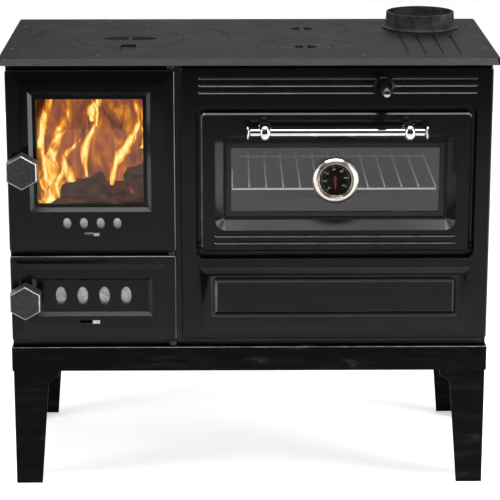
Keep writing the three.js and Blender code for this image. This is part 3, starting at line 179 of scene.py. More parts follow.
def start_material(name):
    """An empty node tree, and Object coordinates in millimetres."""
    material = bpy.data.materials.new(name)
    material.use_nodes = True
    tree = material.node_tree
    tree.nodes.clear()
    place = add(tree, "ShaderNodeTexCoord")
    scaled = add(tree, "ShaderNodeVectorMath", {0: place.outputs["Object"], 1: (1000, 1000, 1000)},
                 operation="MULTIPLY")
    return material, tree, scaled


def finish_material(tree, surface):
    """Principled shader with the given sockets, and the output."""
    shader = add(tree, "ShaderNodeBsdfPrincipled", surface)
    add(tree, "ShaderNodeOutputMaterial", {"Surface": shader})


def mottled(name, lump_mm, colours, surface, tooth=None, detail=3.0, stretch=(1.0, 1.0, 1.0)):
    """A finish whose colour changes over lumps of lump_mm.

    The tooth, where it has one, is its relief's size, detail, depth and strength.
    """
    material, tree, place = start_material(name)
    drawn = add(tree, "ShaderNodeMapping", {"Vector": place, "Scale": stretch})
    lumps = add(tree, "ShaderNodeTexNoise", {
        "Vector": drawn, "Scale": 1 / lump_mm, "Detail": detail, "Roughness": 0.55})
    inputs = dict(surface)
    inputs["Base Color"] = add(tree, "ShaderNodeValToRGB", {"Fac": lumps}, stops=colours)
    if tooth:
        size_mm, fineness, depth_mm, strength = tooth
        grit = add(tree, "ShaderNodeTexNoise", {
            "Vector": place, "Scale": 1 / size_mm, "Detail": fineness, "Roughness": 0.55})
        inputs["Normal"] = add(tree, "ShaderNodeBump", {
            "Height": grit, "Distance": depth_mm * MM, "Strength": strength})
    finish_material(tree, inputs)
    return material


def pale_floor():
    """White studio paper whose glow is painted light: bright under and round the stove, where it
    lightens the stove's shadow on the floor, dim further out, and brightest towards the rim, where
    it hides where the floor ends.
    """
    material, tree, place = start_material("pale_studio_floor")
    clouds = add(tree, "ShaderNodeTexNoise", {
        "Vector": place, "Scale": 1 / 400, "Detail": 3.0, "Roughness": 0.55})
    colour = add(tree, "ShaderNodeValToRGB", {"Fac": clouds}, stops=[
        (0.3, "ececeb"), (0.7, "f2f2f1")])
    far = add(tree, "ShaderNodeVectorMath", {0: place}, operation="LENGTH").outputs["Value"]
    share = add(tree, "ShaderNodeMath", {0: far, 1: 1000 * floor_radius}, operation="DIVIDE")
    glow = add(tree, "ShaderNodeValToRGB", {"Fac": share}, stops=[
        (0.0, "cccccc"), (0.22, "bcbcbc"), (0.34, "6c6c6c"), (0.6, "797979"), (1.0, "e1e1e1")])
    finish_material(tree, {"Base Color": colour, "Roughness": 0.9, "Specular IOR Level": 0.1,
                           "Emission Color": linear("ffffff"), "Emission Strength": glow})
    return material


def hob_iron(name, cloud_mm, dark, middle_grey, light):
    """Grey iron, sand-cast and black-leaded: dark grey with a fine tooth and faint heat clouds."""
    material, tree, place = start_material(name)
    clouds = add(tree, "ShaderNodeTexNoise", {
        "Vector": place, "Scale": 1 / cloud_mm, "Detail": 4.0, "Roughness": 0.55})
    colour = add(tree, "ShaderNodeValToRGB", {"Fac": clouds}, stops=[
        (0.3, dark), (0.5, middle_grey), (0.72, light)])
    sand = add(tree, "ShaderNodeTexNoise", {
        "Vector": place, "Scale": 1 / 1.6, "Detail": 2.0, "Roughness": 0.55})
    pits = add(tree, "ShaderNodeTexNoise", {
        "Vector": place, "Scale": 1 / 7, "Detail": 3.0, "Roughness": 0.55})
    height = add(tree, "ShaderNodeMath", {0: sand, 1: pits}, operation="ADD")
    bump = add(tree, "ShaderNodeBump", {"Height": height, "Distance": 0.12 * MM, "Strength": 1.0})
    gloss = add(tree, "ShaderNodeValToRGB", {"Fac": clouds}, stops=[
        (0.25, "b4b4b4"), (0.75, "cccccc")])
    finish_material(tree, {"Base Color": colour, "Roughness": gloss, "Specular IOR Level": 0.02,
                           "Normal": bump})
    return material


def steel_paint():
    """Folded sheet under satin heat-proof paint: black with long faint wipe marks."""
    material, tree, place = start_material("sheet_steel_satin_black")
    stretched = add(tree, "ShaderNodeMapping", {"Vector": place, "Scale": (0.3, 0.3, 1.6)})
    marks = add(tree, "ShaderNodeTexNoise", {
        "Vector": stretched, "Scale": 1 / 38, "Detail": 4.0, "Roughness": 0.5, "Distortion": 1.2})
    colour = add(tree, "ShaderNodeValToRGB", {"Fac": marks}, stops=[
        (0.5, "050505"), (0.62, "0d0d0d"), (0.74, "242424")])
    gloss = add(tree, "ShaderNodeValToRGB", {"Fac": marks}, stops=[
        (0.4, "6a6a6a"), (0.7, "909090")])
    finish_material(tree, {"Base Color": colour, "Roughness": gloss, "Specular IOR Level": 0.03})
    return material


def rack_wire():
    """Bright-plated wire, welded; its glow, weaker further in, stands for the oven's light."""
    material, tree, place = start_material("steel_wire_bright_plated")
    spots = add(tree, "ShaderNodeTexNoise", {
        "Vector": place, "Scale": 1 / 12, "Detail": 3.0, "Roughness": 0.55})
    colour = add(tree, "ShaderNodeValToRGB", {"Fac": spots}, stops=[
        (0.3, "c8c8c8"), (0.7, "f0f0ee")])
    depth = add(tree, "ShaderNodeSeparateXYZ", {0: place}).outputs[1]
    reach = add(tree, "ShaderNodeMapRange", {"Value": depth, 1: -110, 2: 160, 3: 0.0, 4: 1.0})
    glow = add(tree, "ShaderNodeValToRGB", {"Fac": reach}, stops=[
        (0.0, "ffffff"), (0.04, "c8c8c8"), (0.5, "9a9a9a"), (1.0, "6a6a6a")])
    finish_material(tree, {"Base Color": colour, "Metallic": 0.4, "Roughness": 0.4,
                           "Emission Color": glow, "Emission Strength": 0.42})
    material.cycles.emission_sampling = "NONE"
    return material


def knob_face():
    """The knob's as-cast face, darkened and pitted by the sand."""
    material, tree, place = start_material("cast_aluminium_pitted_face")
    pits = add(tree, "ShaderNodeTexNoise", {
        "Vector": place, "Scale": 1 / 2.4, "Detail": 4.0, "Roughness": 0.65})
    colour = add(tree, "ShaderNodeValToRGB", {"Fac": pits}, stops=[
        (0.35, "161617"), (0.5, "262627"), (0.7, "3c3c3d")])
    bump = add(tree, "ShaderNodeBump", {"Height": pits, "Distance": 0.5 * MM, "Strength": 1.0})
    finish_material(tree, {"Base Color": colour, "Metallic": 0.1, "Roughness": 0.6,
                           "Specular IOR Level": 0.25, "Normal": bump})
    return material


def zinc_sheet(name, dark, light, metal, glow):
    """Galvanised sheet: pale grey zinc crystals; a glow stands for light in the narrow ports."""
    material, tree, place = start_material(name)
    crystals = add(tree, "ShaderNodeTexVoronoi", {
        "Vector": place, "Scale": 1 / 4.5}).outputs["Color"]
    colour = add(tree, "ShaderNodeValToRGB", {"Fac": crystals}, stops=[(0.2, dark), (0.8, light)])
    frost = add(tree, "ShaderNodeTexNoise", {
        "Vector": place, "Scale": 1 / 1.4, "Detail": 3.0, "Roughness": 0.55})
    bump = add(tree, "ShaderNodeBump", {"Height": frost, "Distance": 0.06 * MM, "Strength": 1.0})
    finish_material(tree, {
        "Base Color": colour, "Metallic": metal, "Roughness": 0.5, "Normal": bump,
        "Emission Color": colour, "Emission Strength": glow})
    return material


def fire_board():
    """Pressed vermiculite: sandy board with flecks, sooted by the fire."""
    material, tree, place = start_material("vermiculite_board")
    flecks = add(tree, "ShaderNodeTexVoronoi", {
        "Vector": place, "Scale": 1 / 3.2}).outputs["Distance"]
    soot = add(tree, "ShaderNodeTexNoise", {
        "Vector": place, "Scale": 1 / 80, "Detail": 4.0, "Roughness": 0.55})
    mixed = add(tree, "ShaderNodeMath", {0: flecks, 1: soot}, operation="MULTIPLY")
    colour = add(tree, "ShaderNodeValToRGB", {"Fac": mixed}, stops=[
        (0.05, "2c241d"), (0.25, "6e5a45"), (0.5, "a08a6a")])
    bump = add(tree, "ShaderNodeBump", {"Height": flecks, "Distance": 0.5 * MM, "Strength": 1.0})
    finish_material(tree, {"Base Color": colour, "Roughness": 0.95, "Normal": bump})
    return material


def clear_pane(name, haze_mm, light_haze, strong_haze, surface):
    """Clear glass whose only mark is a faint haze in its gloss."""
    material, tree, place = start_material(name)
    clouds = add(tree, "ShaderNodeTexNoise", {
        "Vector": place, "Scale": 1 / haze_mm, "Detail": 3.0, "Roughness": 0.55})
    haze = add(tree, "ShaderNodeValToRGB", {"Fac": clouds}, stops=[
        (0.3, light_haze), (0.8, strong_haze)])
    finish_material(tree, dict(surface, Roughness=haze))
    return material


def oven_enamel():
    """The oven's grey enamel; the glow stands for the light that goes to and fro inside it."""
    material, tree, place = start_material("vitreous_enamel_grey")
    specks = add(tree, "ShaderNodeTexNoise", {
        "Vector": place, "Scale": 1 / 1.6, "Detail": 2.0, "Roughness": 0.55})
    colour = add(tree, "ShaderNodeValToRGB", {"Fac": specks}, stops=[
        (0.35, "1c1c1d"), (0.65, "242425")])
    glow = add(tree, "ShaderNodeValToRGB", {"Fac": specks}, stops=[
        (0.35, "545455"), (0.65, "5a5a5b")])
    finish_material(tree, {"Base Color": colour, "Roughness": 0.5, "Specular IOR Level": 0.1,
                           "Emission Color": glow, "Emission Strength": 0.85})
    material.cycles.emission_sampling = "NONE"
    return material


def charred_wood():
    """Burning split logs: cracked grey-brown char with embers in the deepest cracks."""
    material, tree, place = start_material("charred_beech_log")
    along = add(tree, "ShaderNodeMapping", {"Vector": place, "Scale": (0.35, 1.0, 1.0)})
    bark = add(tree, "ShaderNodeTexNoise", {
        "Vector": along, "Scale": 1 / 14, "Detail": 5.0, "Roughness": 0.6})
    colour = add(tree, "ShaderNodeValToRGB", {"Fac": bark}, stops=[
        (0.35, "453833"), (0.5, "66554d"), (0.68, "7d6c63")])
    cracks = add(tree, "ShaderNodeTexNoise", {
        "Vector": along, "Scale": 1 / 22, "Detail": 4.0, "Roughness": 0.6})
    embers = add(tree, "ShaderNodeValToRGB", {"Fac": cracks}, stops=[
        (0.62, "38261f"), (0.7, "b23c0e"), (0.8, "ff9a3a")])
    bump = add(tree, "ShaderNodeBump", {"Height": bark, "Distance": 3 * MM, "Strength": 1.0})
    finish_material(tree, {"Base Color": colour, "Roughness": 0.9, "Normal": bump,
                           "Emission Color": embers, "Emission Strength": 0.9})
    return material


def flame_haze():
    """The hot haze behind the flames: brown-red with soft rising streaks."""
    material, tree, place = start_material("fire_haze")
    rising = add(tree, "ShaderNodeMapping", {"Vector": place, "Scale": (1.0, 1.0, 0.36)})
    streaks = add(tree, "ShaderNodeTexNoise", {
        "Vector": rising, "Scale": 1 / 26, "Detail": 3.0, "Roughness": 0.5, "Distortion": 1.4})
    colour = add(tree, "ShaderNodeValToRGB", {"Fac": streaks}, stops=[
        (0.3, "5b3b2f"), (0.45, "8a4f3a"), (0.58, "a8603a"), (0.7, "d98a2b")])
    finish_material(tree, {"Base Color": (0, 0, 0, 1), "Roughness": 1.0, "Specular IOR Level": 0.0,
                           "Emission Color": colour, "Emission Strength": 0.95})
    return material


def flame_tongue():
    """A tongue of flame: bright threads in an orange body that thins out at its edges and tip."""
    material = bpy.data.materials.new("fire_tongue")
    material.use_nodes = True
    tree = material.node_tree
    tree.nodes.clear()
    # its own UV map runs across the tongue and up it; noise bends both
    across = add(tree, "ShaderNodeUVMap", uv_map="flame")
    place = add(tree, "ShaderNodeTexCoord").outputs["Object"]
    rising = add(tree, "ShaderNodeVectorMath", {0: place, 1: (30, 30, 17)}, operation="MULTIPLY")
    wobble = add(tree, "ShaderNodeTexNoise", {
        "Vector": rising, "Scale": 1.0, "Detail": 3.0, "Distortion": 0.8})
    shift = add(tree, "ShaderNodeVectorMath", {0: wobble.outputs["Color"], 1: (0.5, 0.5, 0.5)},
                operation="SUBTRACT")
    moved = add(tree, "ShaderNodeVectorMath", {0: shift, 1: (0.85, 0.5, 0.0), 2: across},
                operation="MULTIPLY_ADD")
    parts = add(tree, "ShaderNodeSeparateXYZ", {0: moved})
    # full in the middle, nothing at the sides and at the tip
    centred = add(tree, "ShaderNodeMath", {0: parts.outputs[0], 1: 0.5}, operation="SUBTRACT")
    side = add(tree, "ShaderNodeMath", {0: centred}, operation="ABSOLUTE")
    body = add(tree, "ShaderNodeMapRange", {"Value": side, 1: 0.5, 2: 0.0, 3: 0.0, 4: 1.0})
    tip = add(tree, "ShaderNodeMapRange", {
        "Value": parts.outputs[1], 1: 1.0, 2: 0.75, 3: 0.0, 4: 1.0})
    whole = add(tree, "ShaderNodeMath", {0: body, 1: tip}, operation="MULTIPLY")
    # threads where a slower noise crosses its middle
    drawn = add(tree, "ShaderNodeVectorMath", {0: place, 1: (24, 22, 9)}, operation="MULTIPLY")
    streaks = add(tree, "ShaderNodeTexNoise", {
        "Vector": drawn, "Scale": 1.0, "Detail": 2.0, "Distortion": 2.4})
    level = add(tree, "ShaderNodeMath", {0: streaks, 1: 0.5}, operation="SUBTRACT")
    ridge = add(tree, "ShaderNodeMath", {0: level}, operation="ABSOLUTE")
    licks = add(tree, "ShaderNodeMapRange", {"Value": ridge, 1: 0.0, 2: 0.11, 3: 1.45, 4: 0.62})
    heat = add(tree, "ShaderNodeMath", {0: whole, 1: licks}, operation="MULTIPLY")
    colour = add(tree, "ShaderNodeValToRGB", {"Fac": heat}, stops=[
        (0.0, "8f4826"), (0.3, "b9642a"), (0.52, "e2902c"), (0.72, "f8bd42"), (1.0, "fee79a")])
    veil = add(tree, "ShaderNodeMapRange", {"Value": heat, 1: 0.04, 2: 0.55, 3: 0.0, 4: 1.0})
    finish_material(tree, {"Base Color": (0, 0, 0, 1), "Roughness": 1.0, "Specular IOR Level": 0.0,
                           "Emission Color": colour, "Emission Strength": 1.15, "Alpha": veil})
    return material


orange_peel = (9, 1.0, 0.03, 0.5)
looks = {
    "hob_iron": hob_iron("sand_cast_iron_blackleaded", 90, "111111", "161616", "1d1d1e"),
    "collar_iron": hob_iron("sand_cast_iron_heat_greyed", 24, "1c1c1c", "2b2b2b", "3d3d3e"),
    # near-black iron: painted shade along the joints between the hob's rings and lids
    "joint_painted_shade": hob_iron("sand_cast_iron_joint_painted_shade", 12, "040404", "070707", "0b0b0b"),
    # paler iron: a painted highlight on the hob's rim, where its edge faces the light; the hob
    # screws' heads take it as their colour
    "pale_iron_and_edge_highlight": mottled("grey_iron_pale_and_edge_highlight", 1.5, [(0.3, "2c2c2c"), (0.7, "424243")],
                        {"Roughness": 0.5, "Specular IOR Level": 0.4}, (1.6, 3.0, 0.08, 1.0),
                        stretch=(0.08, 0.08, 1.0)),
    # cast iron under heat-proof paint: nearly black, a little rough
    "cast_iron": mottled("cast_iron_painted_black", 30, [(0.3, "0a0a0a"), (0.7, "141414")],
                         {"Roughness": 0.42, "Specular IOR Level": 0.3}, (1.8, 3.0, 0.1, 1.0)),
    # vitreous enamel, sprayed and fired: deep black with a soft gloss and a trace of orange peel
    "enamel": mottled("vitreous_enamel_black", 60, [(0.3, "060606"), (0.7, "0a0a0b")],
                      {"Roughness": 0.16, "Specular IOR Level": 0.14}, orange_peel),
    # the same with less gloss, as sprayed on the sides and the back
    "enamel_satin": mottled("vitreous_enamel_black_satin", 60, [(0.3, "0f0f0f"), (0.7, "151516")],
                            {"Roughness": 0.5, "Specular IOR Level": 0.02}, orange_peel),
    # the same where it runs thick on a pressed slope: a broader, softer shine
    "enamel_pressed": mottled("vitreous_enamel_black_thick", 40, [(0.3, "0c0c0c"), (0.7, "121213")],
                              {"Roughness": 0.42, "Specular IOR Level": 0.34}, orange_peel),
    # the same painted a fine grey along rounded edges: a painted highlight
    "enamel_edge_highlight": mottled("vitreous_enamel_black_edge_highlight", 30,
                           [(0.35, "242424"), (0.65, "434344")],
                           {"Roughness": 0.3, "Specular IOR Level": 0.5}, detail=4.0),
    # satin black painted grey along a sheet's upper edge: a painted highlight
    "paint_edge_highlight": mottled("sheet_steel_satin_black_edge_highlight", 24,
                            [(0.35, "3c3c3c"), (0.6, "6a6a6a")],
                            {"Roughness": 0.4, "Specular IOR Level": 0.4}, detail=4.0),
    "black_steel": steel_paint(),
    # drawn steel rod and turned pins: grey with fine lengthwise marks
    "bare_steel": mottled("drawn_steel", 2, [(0.3, "8c8c8e"), (0.7, "b4b4b6")],
                          {"Metallic": 1.0, "Roughness": 0.3}, stretch=(0.2, 1.0, 1.0)),
    # polished chrome plate, with the faint ripple of the polishing mop
    "chrome": mottled("polished_chrome", 25, [(0.3, "acacab"), (0.7, "c2c2c0")],
                      {"Metallic": 1.0, "Roughness": 0.07}, (14, 1.0, 0.02, 1.0)),
    # spun bezel in bright nickel: warmer than chrome
    "nickel": mottled("spun_nickel", 20, [(0.3, "aba296"), (0.7, "c6bdaf")],
                      {"Metallic": 1.0, "Roughness": 0.24}),
    # aluminium knob, linished on its edges: bright and softly scratched
    "cast_aluminium": mottled("cast_aluminium_linished", 3, [(0.3, "747576"), (0.7, "949596")],
                              {"Metallic": 1.0, "Roughness": 0.38}, (1.2, 3.0, 0.1, 1.0)),
    "knob_face": knob_face(),
    "galvanised": zinc_sheet("galvanised_sheet", "a0a2a3", "c4c6c7", 0.2, 0.0),
    # near-white zinc with a glow: painted light that lifts the shade inside the fire door's deep
    # air ports
    "zinc_painted_light": zinc_sheet("galvanised_sheet_painted_light", "f0f0f0", "fefefe", 0.0, 0.17),
    "fire_board": fire_board(),
    # knitted glass-fibre rope, dark grey and matt
    "rope_seal": mottled("glass_fibre_rope", 1.2, [(0.3, "2c2c2d"), (0.7, "4a4a4b")],
                         {"Roughness": 0.9}, (0.8, 3.0, 0.3, 1.0)),
    # toughened glass with a slight grey tint
    "smoked_glass": mottled("toughened_glass_grey_tint", 160, [(0.3, "dcdcdd"), (0.7, "e0e0e1")],
                            {"Roughness": 0.0, "IOR": 1.2, "Transmission Weight": 1.0}),
    "oven_enamel": oven_enamel(),
    # ceramic glass of the fire door, and the thin clear dome over the thermometer's dial
    "clear_glass": clear_pane("ceramic_glass_clear", 70, "050505", "0d0d0d", {
        "Base Color": (1, 1, 1, 1), "IOR": 1.2, "Transmission Weight": 1.0}),
    "lens": clear_pane("clear_lens", 30, "101010", "161616", {
        "Base Color": (0, 0, 0, 1), "Alpha": 0.05}),
    # matt black printed dial, its white ink, and the red lacquer on the needle
    "dial": mottled("printed_dial_black", 6, [(0.3, "0b0b09"), (0.7, "12120f")],
                    {"Roughness": 0.6, "Specular IOR Level": 0.05}),
    "dial_white": mottled("printing_ink_white", 2, [(0.3, "dcdcd6"), (0.7, "f2f2ec")],
                          {"Roughness": 0.6}),
    "needle": mottled("lacquered_steel_red", 3, [(0.3, "6e111b"), (0.7, "8a1823")],
                      {"Roughness": 0.35}),
    # moulded phenolic: glossy black
    "bakelite": mottled("moulded_phenolic_black", 8, [(0.3, "090909"), (0.7, "101010")],
                        {"Roughness": 0.2}, (6, 1.0, 0.03, 1.0)),
    "wire": rack_wire(),
    # black ceramic ink fired on the glass's edge
    "print": mottled("fired_ceramic_ink_black", 20, [(0.3, "0a0a0a"), (0.7, "0f0f0f")],
                     {"Roughness": 0.2, "Specular IOR Level": 0.3}),
    "charred_wood": charred_wood(),
    "haze": flame_haze(),
    "flame": flame_tongue(),
}
own_looks = {
    "hob_plate": "hob_iron", "large_hob_ring": "hob_iron", "large_hob_lid": "hob_iron",
    "small_hob_ring": "hob_iron", "small_hob_lid": "hob_iron", "rear_hob_lid": "hob_iron",
    "flue_collar": "collar_iron", "fire_air_slider": "zinc_painted_light", "thermometer_case": "nickel",
    "thermometer_lens": "lens", "oven_box": "oven_enamel", "damper_boss": "black_steel",
    "hinge_pin_upper": "black_steel", "hinge_pin_middle": "black_steel",
    "hinge_pin_lower": "black_steel", "oven_hinge_left": "black_steel",
    "oven_hinge_right": "black_steel", "side_panel_left": "enamel_satin",
    "side_panel_right": "enamel_satin", "back_panel": "enamel_satin",
}


def look_of(node):
    """The name of a node's finish: its own, or its slot's."""
    return own_looks.get(node, slot_of[node])


# ---------------------------------------- making pieces

def show(name, mesh, look, body, replaced=()):
    """Puts a mesh in the scene as a piece that rides on a body."""
    mesh.materials.clear()
    mesh.materials.append(looks[look])
    piece = bpy.data.objects.new(name, mesh)
    bpy.context.scene.collection.objects.link(piece)
    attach(piece, body)
    if replaced:
        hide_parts(*replaced)
    return piece


def plain_mesh(work):
    """The mesh that a helper object gives with its modifiers run; the helper goes."""
    bpy.context.scene.collection.objects.link(work)
    bpy.context.view_layer.update()
    graph = bpy.context.evaluated_depsgraph_get()
    mesh = bpy.data.meshes.new_from_object(work.evaluated_get(graph))
    bpy.data.objects.remove(work)
    return mesh


def turned_outward(mesh):
    """Welds the seams of a closed mesh, turns its faces outward and shades them smooth."""
    weld = 0.001
    shaped = bmesh.new()
    shaped.from_mesh(mesh)
    bmesh.ops.remove_doubles(shaped, verts=shaped.verts, dist=weld * MM)
    bmesh.ops.recalc_face_normals(shaped, faces=shaped.faces)
    for face in shaped.faces:
        face.smooth = True
    shaped.to_mesh(mesh)
    shaped.free()


def eased(node, radius, turn=30):
    """A node's piece with edges rounded by radius, as casting and pressing leave them."""
    weld, flat = 0.02, 0.6
    source = nodes[node].data.copy()
    shaped = bmesh.new()
    shaped.from_mesh(source)
    bmesh.ops.remove_doubles(shaped, verts=shaped.verts, dist=weld * MM)
    bmesh.ops.dissolve_limit(shaped, angle_limit=math.radians(flat),
                             verts=shaped.verts, edges=shaped.edges)
    for face in shaped.faces:
        face.smooth = True
    for edge in shaped.edges:
        edge.smooth = edge.calc_face_angle(math.pi) < math.radians(turn)
    shaped.to_mesh(source)
    shaped.free()
    work = bpy.data.objects.new("work", source)
    if radius:
        rounding = work.modifiers.new("rounding", "BEVEL")
        rounding.width = radius * MM
        rounding.segments = 2
        rounding.limit_method = "ANGLE"
        rounding.angle_limit = math.radians(turn)
        rounding.use_clamp_overlap = True
    shading = work.modifiers.new("shading", "WEIGHTED_NORMAL")
    shading.keep_sharp = not radius
    mesh = plain_mesh(work)
    mesh.name = node + "_made"
    return show(node + "_made", mesh, look_of(node), body_of[node], (node,))


def dress_nodes():
    """Every node gets its finish; the ones in view get rounded edges or smooth shading too."""
    for node, piece in nodes.items():
        piece.data.materials.clear()
        piece.data.materials.append(looks[look_of(node)])
    eased("flue_collar", 1.0)
    # the top bevels of each ring and lid get painted shade, for the dark of the narrow gaps between
    # them
    joint = 1.1
    for node in ("large_hob_ring", "large_hob_lid", "small_hob_ring", "small_hob_lid",
                 "rear_hob_lid"):
        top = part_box(node)[1].z
        second_finish(eased(node, joint), "joint_painted_shade",
                      lambda face: 0.02 < face.normal.z < 0.9 and face.center.z > top - joint * MM)
    for node in ("side_panel_left", "side_panel_right", "leg_front_left", "leg_front_right",
                 "leg_rear_left", "leg_rear_right", "back_panel"):
        eased(node, 0.8)
    for node in ("ash_air_slider", "front_frame"):
        eased(node, 0.4)
    for node in ("thermometer_lens", "damper_tip", "damper_rod", "damper_grip", "damper_boss",
                 "oven_handle_bar", "oven_handle_post_left", "oven_handle_post_right"):
        eased(node, 0, 40)


def grown(name, build, sizes, look, start=None):
    """The plain mesh that a Geometry Nodes tree gives; its inputs are the named sizes."""
    tree = bpy.data.node_groups.new(name, "GeometryNodeTree")
    tree.interface.new_socket("Geometry", in_out="INPUT", socket_type="NodeSocketGeometry")
    kinds = {float: "NodeSocketFloat", int: "NodeSocketInt"}
    sockets = {
        label: tree.interface.new_socket(label, in_out="INPUT", socket_type=kinds[type(value)])
        for label, value in sizes.items()}
    tree.interface.new_socket("Geometry", in_out="OUTPUT", socket_type="NodeSocketGeometry")
    given = add(tree, "NodeGroupInput").outputs
    whole = add(tree, "GeometryNodeRealizeInstances", {0: build(tree, given)})
    finished = add(tree, "GeometryNodeSetMaterial", {"Geometry": whole, "Material": looks[look]})
    add(tree, "NodeGroupOutput", {0: finished})
    work = bpy.data.objects.new("work", start or bpy.data.meshes.new("start"))
    modifier = work.modifiers.new(name, "NODES")
    modifier.node_group = tree
    for label, socket in sockets.items():
        modifier[socket.identifier] = sizes[label]
    mesh = plain_mesh(work)
    mesh.name = name
    return mesh


def line_mesh(points, closed=False):
    """A chain of edges through points in millimetres."""
    mesh = bpy.data.meshes.new("line")
    edges = [(i, i + 1) for i in range(len(points) - 1)]
    if closed:
        edges.append((len(points) - 1, 0))
    mesh.from_pydata([mm(*p) for p in points], edges, [])
    return mesh


def screw_nodes(tree, given):
    """A domed head with a cross recess, at each point of the start mesh, along its Z."""
    radius, dome_share = given["Head radius"], 0.38
    recess = mm(0.9, 3.8, 1.6)
    dome = add(tree, "GeometryNodeMeshUVSphere", {"Segments": 20, "Rings": 10, "Radius": radius})
    head = add(tree, "GeometryNodeTransform", {"Geometry": dome, "Scale": (1.0, 1.0, dome_share)})
    high = add(tree, "ShaderNodeMath", {0: radius, 1: dome_share}, operation="MULTIPLY")
    lift = add(tree, "ShaderNodeCombineXYZ", {2: high})
    slot = add(tree, "GeometryNodeMeshCube", {"Size": recess})
    for turn in (0.0, math.pi / 2):
        raised = add(tree, "GeometryNodeTransform", {
            "Geometry": slot, "Translation": lift, "Rotation": (0.0, 0.0, turn)})
        head = add(tree, "GeometryNodeMeshBoolean", {0: head, 1: raised},
                   operation="DIFFERENCE", solver="EXACT")
    return add(tree, "GeometryNodeInstanceOnPoints", {
        "Points": given["Geometry"], "Instance": head})


def screws(name, places, facing, body, radius, look="bare_steel"):
    """Screw heads at places in millimetres, turned to face the given axis."""
    turn = Vector((0, 0, 1)).rotation_difference(Vector(facing)).to_matrix().to_4x4()
    points = bpy.data.meshes.new("points")
    points.from_pydata([turn.inverted() @ mm(*p) for p in places], [], [])
    mesh = grown(name, screw_nodes, {"Head radius": radius * MM}, look, points)
    mesh.transform(turn)
    show(name, mesh, look, body)


def wire_nodes(tree, given):
    """Straight round wires side by side: the start line repeated along X."""
    curve = add(tree, "GeometryNodeMeshToCurve", {"Mesh": given["Geometry"]})
    profile = add(tree, "GeometryNodeCurvePrimitiveCircle", {
        "Resolution": 12, "Radius": given["Wire radius"]})
    wire = add(tree, "GeometryNodeCurveToMesh", {
        "Curve": curve, "Profile Curve": profile, "Fill Caps": True})
    step = add(tree, "ShaderNodeCombineXYZ", {0: given["Pitch"]})
    row = add(tree, "GeometryNodeMeshLine", {"Count": given["Count"], "Offset": step})
    return add(tree, "GeometryNodeInstanceOnPoints", {"Points": row, "Instance": wire})


def rope_nodes(tree, given):
    """Laid rope: a lobed section that turns as it follows the loop."""
    radius, hollow_share = given["Radius"], 0.78
    curve = add(tree, "GeometryNodeMeshToCurve", {"Mesh": given["Geometry"]})
    fine = add(tree, "GeometryNodeResampleCurve", {"Curve": curve, "Count": given["Steps"]})
    along = add(tree, "GeometryNodeSplineParameter").outputs["Factor"]
    turns = add(tree, "ShaderNodeMath", {0: given["Turns"], 1: 2 * math.pi}, operation="MULTIPLY")
    tilt = add(tree, "ShaderNodeMath", {0: along, 1: turns}, operation="MULTIPLY")
    twisted = add(tree, "GeometryNodeSetCurveTilt", {"Curve": fine, "Tilt": tilt})
    hollow = add(tree, "ShaderNodeMath", {0: radius, 1: hollow_share}, operation="MULTIPLY")
    lobes = add(tree, "GeometryNodeCurveStar", {
        "Points": 4, "Inner Radius": hollow, "Outer Radius": radius})
    return add(tree, "GeometryNodeCurveToMesh", {"Curve": twisted, "Profile Curve": lobes})


def stroke_nodes(tree, given):
    """Short strokes on an arc, each pointing at its centre."""
    stroke = add(tree, "GeometryNodeMeshGrid", {
        "Size X": given["Width"], "Size Y": given["Length"], "Vertices X": 2, "Vertices Y": 2})
    out = add(tree, "ShaderNodeCombineXYZ", {1: given["Radius"]})
    placed = add(tree, "GeometryNodeTransform", {"Geometry": stroke, "Translation": out})
    row = add(tree, "GeometryNodeMeshLine", {"Count": given["Count"], "Offset": (0.0, 0.0, 0.0)})
    index = add(tree, "GeometryNodeInputIndex")
    turn = add(tree, "ShaderNodeMath", {0: index, 1: given["Step"], 2: given["Start"]},
               operation="MULTIPLY_ADD")
    angle = add(tree, "ShaderNodeCombineXYZ", {2: turn})
    return add(tree, "GeometryNodeInstanceOnPoints", {
        "Points": row, "Instance": placed, "Rotation": angle})


# ---------------------------------------- pieces that the casting doesn't hold

def joined(meshes):
    """One mesh from several."""
    shaped = bmesh.new()
    for mesh in meshes:
        shaped.from_mesh(mesh)
    whole = bpy.data.meshes.new("joined")
    shaped.to_mesh(whole)
    shaped.free()
    return whole


def printed(text, height):
    """Figures as a flat mesh, centred on the origin, facing +Z."""
    curve = bpy.data.curves.new("text", "FONT")
    curve.body = text
    curve.size = height * MM
    curve.align_x = "CENTER"
    curve.align_y = "CENTER"
    return plain_mesh(bpy.data.objects.new("text", curve))


def add_dial_scale():
    """Strokes and numbers of the oven thermometer, clockwise from the lower left."""
    centre = middle("thermometer_case")
    plate, ink = 1.0, 0.12
    print_y = box_mm("thermometer_dial")[1].y - plate - ink
    first, last, numbers, strokes = 36, 306, 7, 31
    start = math.radians(180 - first)
    sweep = -math.radians(last - first)
    number_radius, number_height = 19.2, 4.0
    thin = {"Radius": 25.2 * MM, "Length": 1.5 * MM, "Width": 0.45 * MM, "Count": strokes,
            "Step": sweep / (strokes - 1), "Start": start}
    bold = {"Radius": 24.5 * MM, "Length": 2.4 * MM, "Width": 0.8 * MM, "Count": numbers,
            "Step": sweep / (numbers - 1), "Start": start}
    parts = [grown("dial_strokes", stroke_nodes, thin, "dial_white"),
             grown("dial_bold_strokes", stroke_nodes, bold, "dial_white")]
    for i in range(numbers):
        number = printed(str(50 * (i + 1)), number_height)
        angle = start + i * sweep / (numbers - 1)
        number.transform(Matrix.Translation(
            mm(-math.sin(angle) * number_radius, math.cos(angle) * number_radius, 0)))
        parts.append(number)
    mesh = joined(parts)
    mesh.transform(Matrix.Rotation(math.pi / 2, 4, "X"))
    mesh.transform(Matrix.Translation(mm(centre.x, print_y, centre.z)))
    show("thermometer_scale", mesh, "dial_white", "oven_door")


